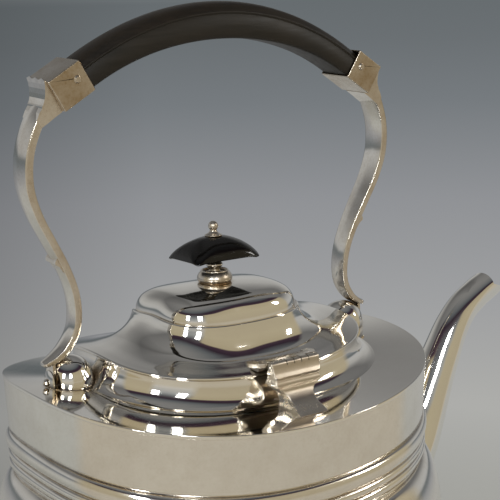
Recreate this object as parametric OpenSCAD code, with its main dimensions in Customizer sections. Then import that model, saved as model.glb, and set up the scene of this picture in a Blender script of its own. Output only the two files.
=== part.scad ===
// Spirit kettle on its stand: an oval, saddle-shouldered kettle with a stepped
// cushion lid and a swing handle, tilting on a four-legged stand over a burner.
// Origin on the table under the kettle's axis, +X towards the spout, -Y towards
// the lid's hinge. Heights named *_h or *_z are above the table, unless they say
// that they are above the shoulder.

/* [Kettle body] */
// Height of the shoulder's edge above the table, at the kettle's sides
shoulder_h = 228; // [222:1:245]
// Length of the shoulder's edge, back to spout
body_len = 190; // [180:1:200]
// Width of the shoulder's edge, side to side
body_wid = 162; // [154:1:170]
// How much the plan's corners swell beyond an oval
body_cushion = 0.069; // [0.03:0.01:0.09]
// Rise of the shoulder's edge towards the spout and the back
saddle_rise = 12.6; // [8:0.5:15]
// Thickness of the raised sheet
sheet_t = 1.6; // [1.2:0.1:2]
// Height of the plain drum wall between shoulder and girdle
drum_h = 25.5; // [22:0.5:30]
// How far the drum wall draws in at its foot
drum_taper = 1; // [0:0.1:2]
// Height of the reeded girdle
girdle_h = 19.5; // [17:0.5:22]
// How far the belly swells beyond the shoulder's edge
belly_out = 7.8; // [4:0.2:10]
// Depth of the belly's widest level below the shoulder's edge
belly_drop = 74; // [68:1:78]
// Depth of the kettle's bottom below the shoulder's edge
kettle_deep = 119; // [112:1:120]
// Height of the foot ring under the bottom
foot_ring_h = 4; // [3:0.5:6]

/* [Lid] */
// Distance of the lid's rim inside the shoulder's edge, at the ends
lid_in_end = 30.6; // [30:0.2:34]
// Distance of the lid's rim inside the shoulder's edge, at the sides
lid_in_side = 31.6; // [30:0.2:34]
// Height of the lid's rim above the shoulder's edge, at the sides
rim_z = 14.6; // [12:0.2:18]
// Rise of the rim towards its ends
rim_rise = 9; // [6:0.5:11]
// Length of the dome at its step
dome_len = 69; // [60:1:76]
// Width of the dome at its step
dome_wid = 56.6; // [50:1:62]
// Height of the step above the shoulder's edge
step_z = 31.2; // [28:0.2:34]
// Height of the dome above its step
dome_h = 9.2; // [7:0.2:12]
// Thickness of the lid's sheet
lid_t = 1.3; // [1:0.1:1.6]
// Play between the lid's bezel and the collar
bezel_play = 0.9; // [0.7:0.1:1.2]

/* [Finial] */
// Length of the ebony knob
knob_len = 34; // [28:1:40]
// Width of the ebony knob
knob_wid = 23.5; // [19:0.5:28]
// Height of the knob's crown
knob_h = 9.6; // [8:0.2:12]
// Height of the silver stem, dome to knob
stem_h = 16.4; // [14:0.2:19]

/* [Lid hinge] */
// Length of the hinge's barrel
barrel_len = 24.8; // [22:0.2:27]
// Radius of the hinge's barrel
barrel_r = 1.8; // [1.6:0.1:2.2]
// Radius of the hinge's pin
hinge_pin_r = 0.9; // [0.8:0.05:1]
// Running clearance of the hinge's pin
pin_play = 0.05; // [0.02:0.01:0.09]
// Gap between neighbouring knuckles and cheeks
side_gap = 0.3; // [0.2:0.05:0.4]
// Distance of the barrel outside the lid's rim
hinge_out = 8; // [7.4:0.2:10]
// Height of the barrel above the lid's rim
hinge_up = 5.2; // [4.6:0.2:6]

/* [Swing handle] */
// Distance of each boss's centre inside the shoulder's edge
boss_in = 20; // [19:0.5:21]
// Radius of the ball bosses
boss_r = 10.3; // [9.8:0.1:10.8]
// Height of the handle's pins above the shoulder's edge
pivot_z = 13.9; // [13.7:0.1:14.4]
// Radius of the handle's pins
pivot_r = 0.9; // [0.8:0.05:1]
// How far the handle leans towards the lid's hinge
handle_lean = 3.8; // [0:0.2:6]
// Radius of the arched grip's centre line
grip_arc_r = 125.5; // [120:0.5:130]
// Depth of the grip at its middle
grip_deep = 15.4; // [13:0.2:17]
// Depth of the grip where it enters the sockets
grip_end_deep = 12.2; // [11.5:0.1:12.6]
// Width of the grip
grip_wid = 17.4; // [15:0.2:18]
// Wall of the grip's sockets
socket_t = 0.8; // [0.7:0.1:1.2]

/* [Spout] */
// Wall of the spout
spout_t = 1.5; // [1.2:0.1:1.8]
// Radius of the opening through the kettle's wall
spout_hole_r = 13; // [8:0.5:15]

/* [Stand] */
// Height of the stand ring's lower face above the kettle's bottom
ring_lift = 4; // [3:0.5:5]
// Depth of the stand's ring
ring_deep = 6; // [5:0.5:6.5]
// Thickness of the stand's ring
ring_t = 6; // [5:0.5:6.5]
// Distance of the kettle's hinge pins beyond the shoulder's edge
tilt_out = 6; // [5:0.5:8]
// Radius of the kettle's hinge pins
tilt_pin_r = 2; // [1.6:0.1:2.3]
// Distance of the lugs from the centre line
lug_y = 38.5; // [36:0.5:41]
// Thickness of the kettle's lugs
lug_t = 3.2; // [2.6:0.2:3.4]
// Distance of the feet from the axis
foot_out = 103; // [100:0.5:106]
// Radius of the feet
foot_r = 9; // [8:0.5:10]

/* [Burner] */
// Radius of the burner's bowl
bowl_r = 30.6; // [28:0.2:33]
// Height of the cradle that the burner hangs in
cradle_h = 42; // [38:1:44]
// Depth of the burner's bowl
bowl_deep = 25; // [20:1:28]
// Radius of the wick's tube
wick_tube_r = 9; // [7:0.5:11]

/* [Hidden] */

silver = [0.80, 0.78, 0.72];
ebony = [0.06, 0.05, 0.05];
cotton = [0.85, 0.83, 0.76];

// Segments of the lofted forms' rings, and of true circles
body_seg = 48;
lid_seg = 40;
round_fn = 96;

body_a = body_len / 2;
body_b = body_wid / 2;
lid_a = body_a - lid_in_end;
lid_b = body_b - lid_in_side;
dome_a = dome_len / 2;
dome_b = dome_wid / 2;
rim_cushion = 0.117;
dome_cushion = 0.178;
dome_rise = 3.35;
solder_gap = 0.05;
ring_h = shoulder_h - kettle_deep + ring_lift;
tilt_x = body_a + tilt_out;
boss_x = body_a - boss_in;

// ---- Plans and lofts -------------------------------------------------------

// A point of a cushioned oval: k swells its corners
function cushion(th, a, b, k) =
  let (swell = 1 + k * pow(sin(2 * th), 2)) [a * cos(th) * swell, b * sin(th) * swell];

// One ring of a loft: plan half-lengths a and b, swell k, height z, rise of its ends
function ring(n, a, b, k, z, rise) =
  [for (i = [0:n - 1]) let (th = 360 * i / n, p = cushion(th, a, b, k))
    [p[0], p[1], z + rise * pow(cos(th), 2)]];

// The side faces between ring j and ring j2 of n points each
function band(n, j, j2) =
  [for (i = [0:n - 1], h = [0, 1]) let (i2 = (i + 1) % n)
    h == 0 ? [j * n + i, j2 * n + i, j2 * n + i2] : [j * n + i, j2 * n + i2, j * n + i2]];

function join(lists) = [for (l = lists, e = l) e];

// A loft through rings, with its first and last ring capped
module loft(rings) {
  n = len(rings[0]);
  m = len(rings);
  caps = [[for (i = [0:n - 1]) i], [for (i = [n - 1:-1:0]) (m - 1) * n + i]];
  sides = join([for (j = [0:m - 2]) band(n, j, j + 1)]);
  polyhedron(points = join(rings), faces = concat(caps, sides), convexity = 10);
}

// A loft whose last ring runs back into its first, as round a hoop
module hoop(rings) {
  n = len(rings[0]);
  m = len(rings);
  sides = join([for (j = [0:m - 1]) band(n, j, (j + 1) % m)]);
  polyhedron(points = join(rings), faces = sides, convexity = 10);
}

// ---- Kettle body -----------------------------------------------------------

// A ring of the body: off beyond the shoulder's plan, drop below its edge, and
// how much of the saddle it keeps
function body_ring(off, drop, keep) =
  ring(body_seg, body_a + off, body_b + off, body_cushion, shoulder_h - drop, saddle_rise * keep);

girdle_top = drum_h;
girdle_foot = drum_h + girdle_h;
neck_off = -drum_taper - 1.2;
bowl_reach = 48;
bowl_turns = [0, 14, 28, 41, 53, 63, 72, 80];
bottom_off = belly_out - bowl_reach * (1 - cos(bowl_turns[7]));
bowl_drop = (kettle_deep - belly_drop) / sin(bowl_turns[7]);
fade_end = 90;

function keep_at(drop) =
  drop <= girdle_foot ? 1 : max(0, 1 - (drop - girdle_foot) / (fade_end - girdle_foot));

// Wall points [off, drop] from the bottom up to the shoulder
belly_wall = [for (t = [0:18:90]) [
  neck_off + (belly_out - neck_off) * cos(t),
  belly_drop - (belly_drop - girdle_foot) * sin(t)
]];
bowl_wall = [for (u = [7:-1:1]) [
  belly_out - bowl_reach * (1 - cos(bowl_turns[u])),
  belly_drop + bowl_drop * sin(bowl_turns[u])
]];
drum_wall = [[neck_off, girdle_top + 0.2], [-drum_taper, girdle_top], [0, sheet_t]];
outer_wall = concat(bowl_wall, belly_wall, drum_wall);

module kettle_shell() {
  outer = [for (p = outer_wall) body_ring(p[0], p[1], keep_at(p[1]))];
  inner = [for (i = [len(outer_wall) - 1:-1:0]) let (p = outer_wall[i])
    if (i != len(outer_wall) - 2)
      body_ring(p[0] - sheet_t, min(p[1], kettle_deep - sheet_t), keep_at(p[1]))];
  bottom = [body_ring(bottom_off - 30, kettle_deep, 0)];
  floor_in = [body_ring(bottom_off - 30, kettle_deep - sheet_t, 0)];
  color(silver) difference() {
    loft(concat(bottom, outer, inner, floor_in));
    spout_bore();
  }
}

// The way from the kettle into its spout
module spout_bore() {
  translate([body_a - 12, 0, shoulder_h - belly_drop - 2])
    rotate([0, 80, 0])
      cylinder(r = spout_hole_r, h = 26, $fn = round_fn);
}

// The shoulder falls a little towards the collar at its ends
collar_foot = 6.2;
collar_a = lid_a + collar_foot;
collar_b = lid_b + collar_foot;
seat_z = 1;
seat_rise = saddle_rise - 2.8;

function shoulder_ring(s, down) =
  ring(body_seg, body_a + s * (collar_a - body_a), body_b + s * (collar_b - body_b),
    body_cushion + s * (rim_cushion - body_cushion), shoulder_h + s * seat_z - down,
    saddle_rise + s * (seat_rise - saddle_rise));

module shoulder_plate() {
  edge_s = -0.25 / (body_a - collar_a);
  color(silver) hoop([
    shoulder_ring(1, sheet_t),
    shoulder_ring(0, sheet_t - solder_gap),
    shoulder_ring(edge_s, sheet_t - 0.5),
    shoulder_ring(edge_s, 0.2),
    shoulder_ring(0, 0),
    shoulder_ring(0.5, 0),
    shoulder_ring(1, 0)
  ]);
}

// The collar's wall: off beyond the rim's plan, at a share of the way up to it
rim_gap = 0.3;
collar_top = rim_z - lid_t - rim_gap;
function collar_ring(off, up, down) =
  ring(body_seg, lid_a + off, lid_b + off, rim_cushion,
    shoulder_h + seat_z + up * (collar_top - seat_z) - down,
    seat_rise + up * (rim_rise - seat_rise));

module lid_collar() {
  color(silver) hoop([
    collar_ring(-3.2, 1, 0),
    collar_ring(-3.2, 0.1, 0),
    collar_ring(1.2, 0, -solder_gap),
    collar_ring(collar_foot, 0, -solder_gap),
    collar_ring(collar_foot - 0.2, 0.04, 0),
    collar_ring(3.2, 0.1, 0),
    collar_ring(1, 0.22, 0),
    collar_ring(-0.6, 0.42, 0),
    collar_ring(-1.4, 0.7, 0),
    collar_ring(-1.6, 1, 0)
  ]);
}

// The reeds of the girdle: where each starts, its height and how far it stands out
reeds = [[0, 8, 2.3], [8, 4.2, 1.7], [12.2, 4.3, 1.7]];
reed_turns = [0, 40, 90, 140];
reed_floor = neck_off + 0.6;
reed_edge = 16.5;
function reed_points(r) =
  [for (t = reed_turns) [reed_floor + r[2] * sin(t), girdle_top + r[0] + r[1] * (1 - cos(t)) / 2]];

module girdle_moulding() {
  down = concat(join([for (r = reeds) reed_points(r)]),
    [[reed_floor, girdle_top + reed_edge], [neck_off + 0.3, girdle_foot]]);
  back = neck_off + solder_gap;
  face = [for (i = [len(down) - 1:-1:0]) body_ring(down[i][0], down[i][1] + 0.3, 1)];
  color(silver) hoop(concat(
    [body_ring(back, girdle_top + 0.3, 1), body_ring(back, girdle_foot + 0.3, 1)], face));
}

module cushion_prism(off, h) {
  linear_extrude(height = h)
    polygon([for (i = [0:body_seg - 1]) cushion(360 * i / body_seg, body_a + off, body_b + off, body_cushion)]);
}

module foot_ring() {
  color(silver) translate([0, 0, shoulder_h - kettle_deep - foot_ring_h]) difference() {
    union() {
      cushion_prism(bottom_off, foot_ring_h);
      cushion_prism(bottom_off + 1.2, foot_ring_h / 2);
    }
    translate([0, 0, -1]) cushion_prism(bottom_off - 3, foot_ring_h + 2);
  }
}

// ---- Spout -----------------------------------------------------------------

// Centre line of the spout [x beyond the shoulder's edge, height above it, radius]
spout_path = [[-11, -80, 24], [3, -77, 21.5], [16, -70, 19], [26, -59, 16.5], [34, -46, 14],
  [41, -32, 12.2], [48, -18, 10.9], [56, -4, 9.7], [65, 6.2, 8.8], [75.5, 12.7, 8.3],
  [85.5, 17.2, 8], [95, 22.4, 7.6], [103, 27, 7.3]];
spout_side = 20;
spout_steps = 2;
// The side keels rise towards the mouth, from this step of the path on
keel_from = 6.5;
keel_full = 9.5;
keel_rise = 0.44;

// A smooth value between b and c, at share t
function blend(a, b, c, d, t) =
  0.5 * (2 * b + (c - a) * t + (2 * a - 5 * b + 4 * c - d) * t * t + (3 * b - a - 3 * c + d) * t * t * t);

function along(path, s) =
  let (last = len(path) - 1, i = min(floor(s), last - 1), t = s - i)
    blend(path[max(i - 1, 0)], path[i], path[i + 1], path[min(i + 2, last)], t);

// Unit direction of a path at s
function heading(path, s) =
  let (last = len(path) - 1, p = along(path, max(s - 0.05, 0)), q = along(path, min(s + 0.05, last)),
    d = [q[0] - p[0], q[1] - p[1]]) d / norm(d);

// A ring of the spout, keeled along both sides, grow beyond its outer radius
function spout_ring(s, grow) =
  let (p = along(spout_path, s), d = heading(spout_path, s), r = p[2] + grow,
    up = keel_rise * min(1, max(0, (s - keel_from) / (keel_full - keel_from))))
    [for (i = [0:spout_side - 1]) let (th = 360 * i / spout_side, c = cos(th), lobe = pow(abs(c), 1.35),
      across = r * (c > 0 ? (1 + up) * lobe - up : -(1 - up) * lobe - up), side = r * sin(th))
      [body_a + p[0] + across * d[1], side, shoulder_h + p[1] - across * d[0]]];

module spout_tube(first, grow) {
  last = len(spout_path) - 1;
  loft([for (k = [0:last * spout_steps]) let (s = k / spout_steps) if (s >= first) spout_ring(s, grow)]);
}

// Everything beyond the hood and above the open trough, which ends in the lip
mouth_line = [[80.5, 19], [130, 3.8], [130, 60], [80.5, 60]];
module spout_mouth_cut() {
  translate([body_a, 20, shoulder_h]) rotate([90, 0, 0]) linear_extrude(height = 40) polygon(mouth_line);
}

module spout() {
  color(silver) difference() {
    spout_tube(0, 0);
    spout_tube(0, -spout_t);
    spout_mouth_cut();
    translate([0, 0, shoulder_h - kettle_deep + 8]) spout_seat();
  }
}

// The belly's space, which the spout's broad end is cut to fit
module spout_seat() {
  seat_h = 12;
  levels = [for (d = [belly_drop + 36:-seat_h:belly_drop - 28]) d];
  translate([0, 0, kettle_deep - 8 - shoulder_h])
    loft([for (d = levels) body_ring(belly_off(d) + solder_gap, d, keep_at(d))]);
}

// The belly's outline at a depth
function belly_off(drop) =
  drop > belly_drop
    ? belly_out - bowl_reach * (1 - sqrt(1 - pow((drop - belly_drop) / bowl_drop, 2)))
    : neck_off + (belly_out - neck_off) * sqrt(1 - pow((belly_drop - drop) / (belly_drop - girdle_foot), 2));

// ---- Handle bosses and pins ------------------------------------------------

tongue_t = 1.3;
tongue_x = boss_x + 8.2;
tongue_gap = 0.2;
eye_r = pivot_r + 0.85;
slot_floor = pivot_z - eye_r - 0.25;
boss_foot = slot_floor - 1.1;

// side is 1 at the spout's end and -1 at the back
module handle_boss(side) {
  color(silver) translate([side * boss_x, 0, shoulder_h + pivot_z]) difference() {
    intersection() {
      sphere(r = boss_r, $fn = round_fn);
      translate([-boss_r, -boss_r, boss_foot - pivot_z]) cube(2 * boss_r + 1);
    }
    slot_in = tongue_x - boss_x - tongue_t / 2 - tongue_gap;
    slot_w = tongue_t + 2 * tongue_gap;
    translate([side > 0 ? slot_in : -slot_in - slot_w, -boss_r - 1, slot_floor - pivot_z])
      cube([slot_w, 2 * boss_r + 2, 2 * boss_r]);
    rotate([0, 90, 0])
      cylinder(r = pivot_r + pin_play, h = 2 * boss_r + 2, center = true, $fn = round_fn);
  }
}

pin_head_r = 1.6;
pin_head_t = 1.5;
module handle_pin(side) {
  inner_end = boss_x - 6;
  outer_end = boss_x + boss_r + 0.2;
  color(silver) translate([0, 0, shoulder_h + pivot_z]) rotate([0, side * 90, 0]) {
    translate([0, 0, inner_end]) cylinder(r = pivot_r, h = outer_end - inner_end + 0.4, $fn = round_fn);
    translate([0, 0, outer_end]) intersection() {
      sphere(r = pin_head_r, $fn = round_fn);
      cylinder(r = pin_head_r, h = pin_head_t, $fn = round_fn);
    }
  }
}

// ---- Lid -------------------------------------------------------------------

// A ring of the lid's dome: q is its share of the step's plan
function dome_ring(q, z) =
  ring(lid_seg, dome_a * q, dome_b * q, dome_cushion * q, shoulder_h + z, dome_rise * q * q);

// A ring of the lid's cove: s runs from the step (0) to the rim (1)
function cove_ring(s, z_share, off, down) =
  ring(lid_seg, dome_a + s * (lid_a - dome_a) + off, dome_b + s * (lid_b - dome_b) + off,
    dome_cushion + s * (rim_cushion - dome_cushion),
    shoulder_h + rim_z + z_share * (step_z - rim_z) - down,
    rim_rise + z_share * (dome_rise - rim_rise));

dome_outline = [[0.04, 1], [0.4, 0.98], [0.68, 0.92], [0.83, 0.83], [0.92, 0.66], [0.97, 0.42], [0.985, 0]];
cove_outline = [[0.012, 1], [0.02, 0.86], [0.06, 0.66], [0.13, 0.45], [0.23, 0.27], [0.36, 0.14],
  [0.6, 0.05]];

module lid_dome() {
  dome = [for (p = dome_outline) dome_ring(p[0], step_z + dome_h * p[1])];
  cove = [for (p = cove_outline) cove_ring(p[0], p[1], 0, 0)];
  rim = [cove_ring(1, 0, -0.3, 0), cove_ring(1, 0, 0, 0.4), cove_ring(1, 0, 0, 1), cove_ring(1, 0, -0.5, lid_t)];
  cove_in = [for (i = [6:-1:0]) let (p = cove_outline[i]) cove_ring(p[0], p[1], -lid_t / 2, lid_t)];
  dome_in = [for (i = [5:-1:0]) let (p = dome_outline[i])
    dome_ring(p[0] * (1 - lid_t / dome_b), step_z + dome_h * p[1] - lid_t)];
  rings = concat(dome, cove, rim, cove_in, dome_in);
  color(silver) loft([for (i = [len(rings) - 1:-1:0]) rings[i]]);
}

// The bezel drops inside the collar with some play
bezel_drop = 4.5;
bezel_off = -3.2 - bezel_play;
function bezel_ring(off, down) =
  ring(lid_seg, lid_a + off, lid_b + off, rim_cushion, shoulder_h + rim_z - lid_t - down, rim_rise);

module lid_bezel() {
  color(silver) hoop([
    bezel_ring(bezel_off - 1.2, 0),
    bezel_ring(bezel_off - 1.2, bezel_drop),
    bezel_ring(bezel_off, bezel_drop),
    bezel_ring(bezel_off, 0)
  ]);
}

stem_z = step_z + dome_h - 0.2;
knob_z = stem_z + stem_h - 0.4;
module finial_stem() {
  k = stem_h / 16.4;
  color(silver) translate([0, 0, shoulder_h + stem_z]) rotate_extrude($fn = round_fn)
    polygon([[0, 0], [4.3, 0], [4.3, 0.7 * k], [3.5, 1.2 * k], [4.2, 2 * k], [6.4, 3.4 * k], [7.8, 4.8 * k],
      [8.2, 5.2 * k], [8.2, 5.8 * k], [7.8, 6.2 * k], [7.9, 7.4 * k], [7.2, 8.8 * k], [6.2, 9.6 * k],
      [6.4, 10 * k], [6.1, 10.6 * k], [4.4, 11 * k], [4.2, 11.6 * k], [5.2, 12.4 * k], [5.2, 13.2 * k],
      [4.4, 13.8 * k], [3.6, 14.2 * k], [3.6, stem_h], [1.25, stem_h], [1.25, stem_h / 2], [0, stem_h / 2]]);
}

// A ring of the knob: an almost square-cornered oblong, q its share of the edge
knob_seg = 32;
function knob_ring(q, z) =
  [for (i = [0:knob_seg - 1]) let (th = 360 * i / knob_seg, c = cos(th), s = sin(th), e = 0.42 + 0.5 * (1 - q))
    [q * knob_len / 2 * sign(c) * pow(abs(c), e), q * knob_wid / 2 * sign(s) * pow(abs(s), e),
      shoulder_h + z - 0.6 * q * q * pow(sin(2 * th), 2)]];

module lid_knob() {
  under = [[0.34, 1.8], [0.6, 1.3], [0.84, 0.4], [0.97, 0]];
  crown = [[1, 0.7], [0.95, 2.6], [0.84, 4.8], [0.66, 7], [0.42, 8.7], [0.2, 9.5]];
  color(ebony) difference() {
    loft(concat(
      [for (p = under) knob_ring(p[0], knob_z + p[1])],
      [for (p = crown) knob_ring(p[0], knob_z + p[1] * knob_h / 9.6)]));
    translate([0, 0, shoulder_h + knob_z - 1]) cylinder(r = 1.25, h = knob_h + 4, $fn = round_fn);
    translate([0, 0, shoulder_h + knob_z - 1]) cylinder(r = 3.65, h = 1.4 + 1, $fn = round_fn);
  }
}

washer_z = knob_z + knob_h - 0.15;
module finial_washer() {
  color(silver) translate([0, 0, shoulder_h + washer_z]) rotate_extrude($fn = round_fn)
    polygon([[1.25, 0], [3.9, 0], [4, 0.5], [2.6, 1.2], [1.8, 2], [1.5, 2.8], [1.25, 2.8]]);
}

ball_r = 2.3;
ball_z = washer_z + 2.8 + 1.7;
module finial_nut() {
  color(silver) translate([0, 0, shoulder_h + ball_z]) difference() {
    intersection() {
      sphere(r = ball_r, $fn = round_fn);
      translate([-5, -5, -1.7]) cube(10);
    }
    translate([0, 0, -ball_r]) cylinder(r = 1.25, h = ball_r + 0.8, $fn = round_fn);
  }
}

module finial_screw() {
  color(silver) translate([0, 0, shoulder_h + stem_z + stem_h / 2 + 0.1])
    cylinder(r = 1.2, h = ball_z + 0.6 - stem_z - stem_h / 2, $fn = round_fn);
}

// ---- Lid hinge -------------------------------------------------------------

hinge_y = -(lid_b + hinge_out);
hinge_z = rim_z + hinge_up;
// Ends of the five knuckles along the barrel, long ones outside
knuckle_ends = [-0.5, -0.19, -0.035, 0.115, 0.27, 0.5];
lower_knuckles = [0, 2, 4];
upper_knuckles = [1, 3];

// Material of the given knuckles, grown by extra all round
module knuckles(which, extra) {
  for (i = which) {
    x0 = knuckle_ends[i] * barrel_len + (i == 0 ? 0 : side_gap / 2) - extra;
    x1 = knuckle_ends[i + 1] * barrel_len - (i == 4 ? 0 : side_gap / 2) + extra;
    translate([x0, hinge_y, shoulder_h + hinge_z]) rotate([0, 90, 0])
      cylinder(r = barrel_r + extra, h = x1 - x0, $fn = round_fn);
  }
}

module hinge_bore() {
  translate([0, hinge_y, shoulder_h + hinge_z]) rotate([0, 90, 0])
    cylinder(r = hinge_pin_r + pin_play, h = barrel_len + 2, center = true, $fn = round_fn);
}

// A plate with the given outline in the Y-Z plane, w wide along X
module across_x(w) {
  translate([-w / 2, 0, 0]) rotate([90, 0, 90]) linear_extrude(height = w) children();
}

module hinge_lower_leaf() {
  // Outline from the barrel down its ridged face to the foot, relative to the barrel
  leaf = [[-barrel_r, 0], [-2.5, -3], [-3.5, -4.8], [-2.9, -6.2], [-3.9, -8], [-3.6, -9.6], [-4.4, -11.4],
    [-2.4, -11], [-1.9, -8], [-0.9, -5], [-0.2, -2.2], [-0.2, -0.5]];
  foot = [[-4.6, -11], [-6.4, -14], [-10, -16.6], [-14.5, -17.8], [-14.6, -19.2], [-2, -19.2],
    [-2.2, -17], [-3, -14.6], [-2.6, -10.4]];
  shield = [[12.4, 3], [12.4, -3], [11, -6], [12.2, -8.6], [10.4, -10.6], [6.4, -11.6], [4, -13]];
  color(silver) difference() {
    union() {
      knuckles(lower_knuckles, 0);
      translate([0, hinge_y, shoulder_h + hinge_z]) {
        intersection() {
          across_x(barrel_len) polygon(leaf);
          translate([0, 20, 0]) rotate([90, 0, 0]) linear_extrude(height = 40)
            polygon(concat(shield, [for (i = [len(shield) - 1:-1:0]) [-shield[i][0], shield[i][1]]]));
        }
        across_x(7) polygon(foot);
      }
    }
    knuckles(upper_knuckles, side_gap);
    hinge_bore();
  }
}

module hinge_upper_leaf() {
  // Outline from the barrel's top over the lid's rim to its flange
  leaf = [[0, barrel_r], [5, barrel_r], [8.6, 0.6], [11.4, -2.6], [14, -3.2], [14, -4.2], [8.6, -4.2],
    [7.4, -1.6], [5, 0.2], [0, 0.2]];
  wing = [[12.2, 3], [15.2, 4.6], [17.6, 8.4], [16.4, 11.6], [12.2, 11]];
  color(silver) difference() {
    union() {
      knuckles(upper_knuckles, 0);
      translate([0, hinge_y, shoulder_h + hinge_z]) {
        across_x(barrel_len) polygon(leaf);
        for (side = [-1, 1])
          translate([0, 0, -1.2]) linear_extrude(height = 1.6) polygon([for (p = wing) [side * p[0], p[1]]]);
      }
    }
    knuckles(lower_knuckles, side_gap);
    hinge_bore();
  }
}

module lid_hinge_pin() {
  color(silver) translate([0, hinge_y, shoulder_h + hinge_z]) rotate([0, 90, 0])
    cylinder(r = hinge_pin_r, h = barrel_len + 0.8, center = true, $fn = round_fn);
}

// ---- Swing handle ----------------------------------------------------------

// Everything of the handle is drawn upright, then leant about its pins
module leant() {
  translate([0, 0, shoulder_h + pivot_z]) rotate([handle_lean, 0, 0]) children();
}

// Centre line of an arm [x beyond the boss's centre, height above the pins, thickness, width]
arm_path = [[9, 114.5, 5, 12], [13, 108, 5.5, 12.6], [16.4, 99, 5.4, 12.4],
  [17.6, 90, 5.4, 12.2], [16.8, 81, 5.4, 11.8], [13.4, 71, 5.3, 11.4], [8, 60.5, 5.2, 10.8],
  [2.6, 50, 5, 10.2], [-1.6, 39, 4.8, 9.6], [-3, 29, 4.6, 9.2], [-1.8, 20.5, 4.6, 8.8],
  [2.4, 13.6, 4.8, 8.4], [7.8, 9.7, 3.8, 6.8], [12.4, 7.9, 2.4, 4.6]];
// Ridged inside and outside, with flat sides
arm_section = [[-0.46, 0], [-0.38, -0.3], [-0.28, -0.5], [0.28, -0.5], [0.4, -0.3], [0.5, 0],
  [0.4, 0.3], [0.28, 0.5], [-0.28, 0.5], [-0.38, 0.3]];
arm_steps = 1.5;

function arm_ring(s) =
  let (p = along(arm_path, s), d = heading(arm_path, s))
    [for (q = arm_section) [boss_x + p[0] - q[0] * p[2] * d[1], q[1] * p[3], p[1] + q[0] * p[2] * d[0]]];

// The arm at the spout's end; the other is its mirror image
module arm_body() {
  last = len(arm_path) - 1;
  difference() {
    loft([for (k = [last * arm_steps:-1:0]) arm_ring(k / arm_steps)]);
    translate([boss_x, 0, 0]) sphere(r = boss_r + 0.4, $fn = round_fn);
  }
}

// The arm's head spreads to the socket's end, its outer face hollowed under a pointed ear
head_side = [[9.2, 108.6], [6.6, 110.4], [3.1, 112.6], [10.3, 124.7], [11.2, 125.6], [10.8, 123.6],
  [10.5, 121], [10.6, 118], [11.2, 115.8], [11.6, 114.6], [13, 112.4], [14, 109.8], [12, 106.8]];
head_front = [[-8.2, 127], [8.2, 127], [6.7, 117], [6.3, 106], [-6.3, 106], [-6.7, 117]];
module arm_head() {
  intersection() {
    upright(0, socket_wid) translate([boss_x, 0]) polygon(head_side);
    rotate([90, 0, 90]) linear_extrude(height = 2 * body_a) polygon(head_front);
  }
}

// The upper scroll ends in a little curl over the lower one
curl = [[4, 54.4], [6.3, 53.4], [7.1, 51.7], [6.6, 50.8], [5.2, 49.8], [3.8, 47.8], [2.2, 46]];
curl_wide = 9;

module handle_arm(side) {
  // The tongue widens with its height over the pin, so that it swings clear of the slot's floor
  tongue = [[0, eye_r], [-4.6, 3.2], [-9.6, 2.8], [-9.6, -2.8], [-4.6, -3.2], [0, -eye_r]];
  color(silver) leant() mirror([side < 0 ? 1 : 0, 0, 0]) difference() {
    union() {
      arm_body();
      arm_head();
      translate([tongue_x, 0, 0]) rotate([0, 90, 0]) {
        cylinder(r = eye_r, h = tongue_t, center = true, $fn = round_fn);
        translate([0, 0, -tongue_t / 2]) linear_extrude(height = tongue_t) polygon(tongue);
      }
      upright(0, curl_wide) translate([boss_x, 0]) polygon(curl);
    }
    translate([tongue_x, 0, 0]) rotate([0, 90, 0])
      cylinder(r = pivot_r + pin_play, h = 20, center = true, $fn = round_fn);
  }
}

// The grip is an arch about a centre below the sockets
socket_mid = [boss_x + 0.1, 122.7];
socket_turn = 31.4;
grip_turn = asin(socket_mid[0] / grip_arc_r) + 0.4;
grip_centre = socket_mid[1] - 0.7 - grip_arc_r * cos(grip_turn - 0.4);
grip_section = [[-0.5, -0.44], [-0.44, -0.5], [0.2, -0.5], [0.38, -0.43], [0.5, -0.22], [0.5, 0.22],
  [0.38, 0.43], [0.2, 0.5], [-0.44, 0.5], [-0.5, 0.44]];
function grip_ring(turn) =
  let (deep = grip_end_deep + (grip_deep - grip_end_deep) * pow(cos(turn * 90 / grip_turn), 2))
    [for (q = grip_section) let (r = grip_arc_r + q[0] * deep)
      [r * sin(turn), q[1] * grip_wid, grip_centre + r * cos(turn)]];

module handle_grip() {
  color(ebony) leant() difference() {
    loft([for (k = [8:-1:-8]) grip_ring(k * grip_turn / 8)]);
    rivet_holes();
  }
}

socket_len = 15.6;
socket_end_t = 3;
grip_slack = 0.1;
socket_wid = grip_wid + 2 * (socket_t + grip_slack);
socket_deep = grip_end_deep + 2 * (socket_t + grip_slack);
module grip_socket(side) {
  color(silver) leant() difference() {
    translate([side * socket_mid[0], 0, socket_mid[1]]) rotate([0, side * socket_turn, 0]) difference() {
      cube([socket_len, socket_wid, socket_deep], center = true);
      translate([-side * socket_end_t, 0, 0])
        cube([socket_len, socket_wid - 2 * socket_t, socket_deep - 2 * socket_t], center = true);
    }
    rivet_holes();
  }
}

rivet_at = [socket_mid[0] - 2.3, socket_mid[1] + 2.5];
rivet_r = 1.1;
module rivet_holes() {
  for (side = [-1, 1])
    translate([side * rivet_at[0], 0, rivet_at[1]]) rotate([90, 0, 0])
      cylinder(r = rivet_r + 0.02, h = socket_wid + 4, center = true, $fn = round_fn);
}

module socket_rivets() {
  head_h = 0.9;
  color(silver) leant() for (side = [-1, 1])
    translate([side * rivet_at[0], 0, rivet_at[1]]) rotate([90, 0, 0]) {
      cylinder(r = rivet_r, h = socket_wid + 1, center = true, $fn = round_fn);
      for (end = [0, 1]) mirror([0, 0, end])
        translate([0, 0, socket_wid / 2]) cylinder(r1 = rivet_r + 0.6, r2 = rivet_r, h = head_h, $fn = round_fn);
    }
}

// ---- Stand -----------------------------------------------------------------

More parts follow.
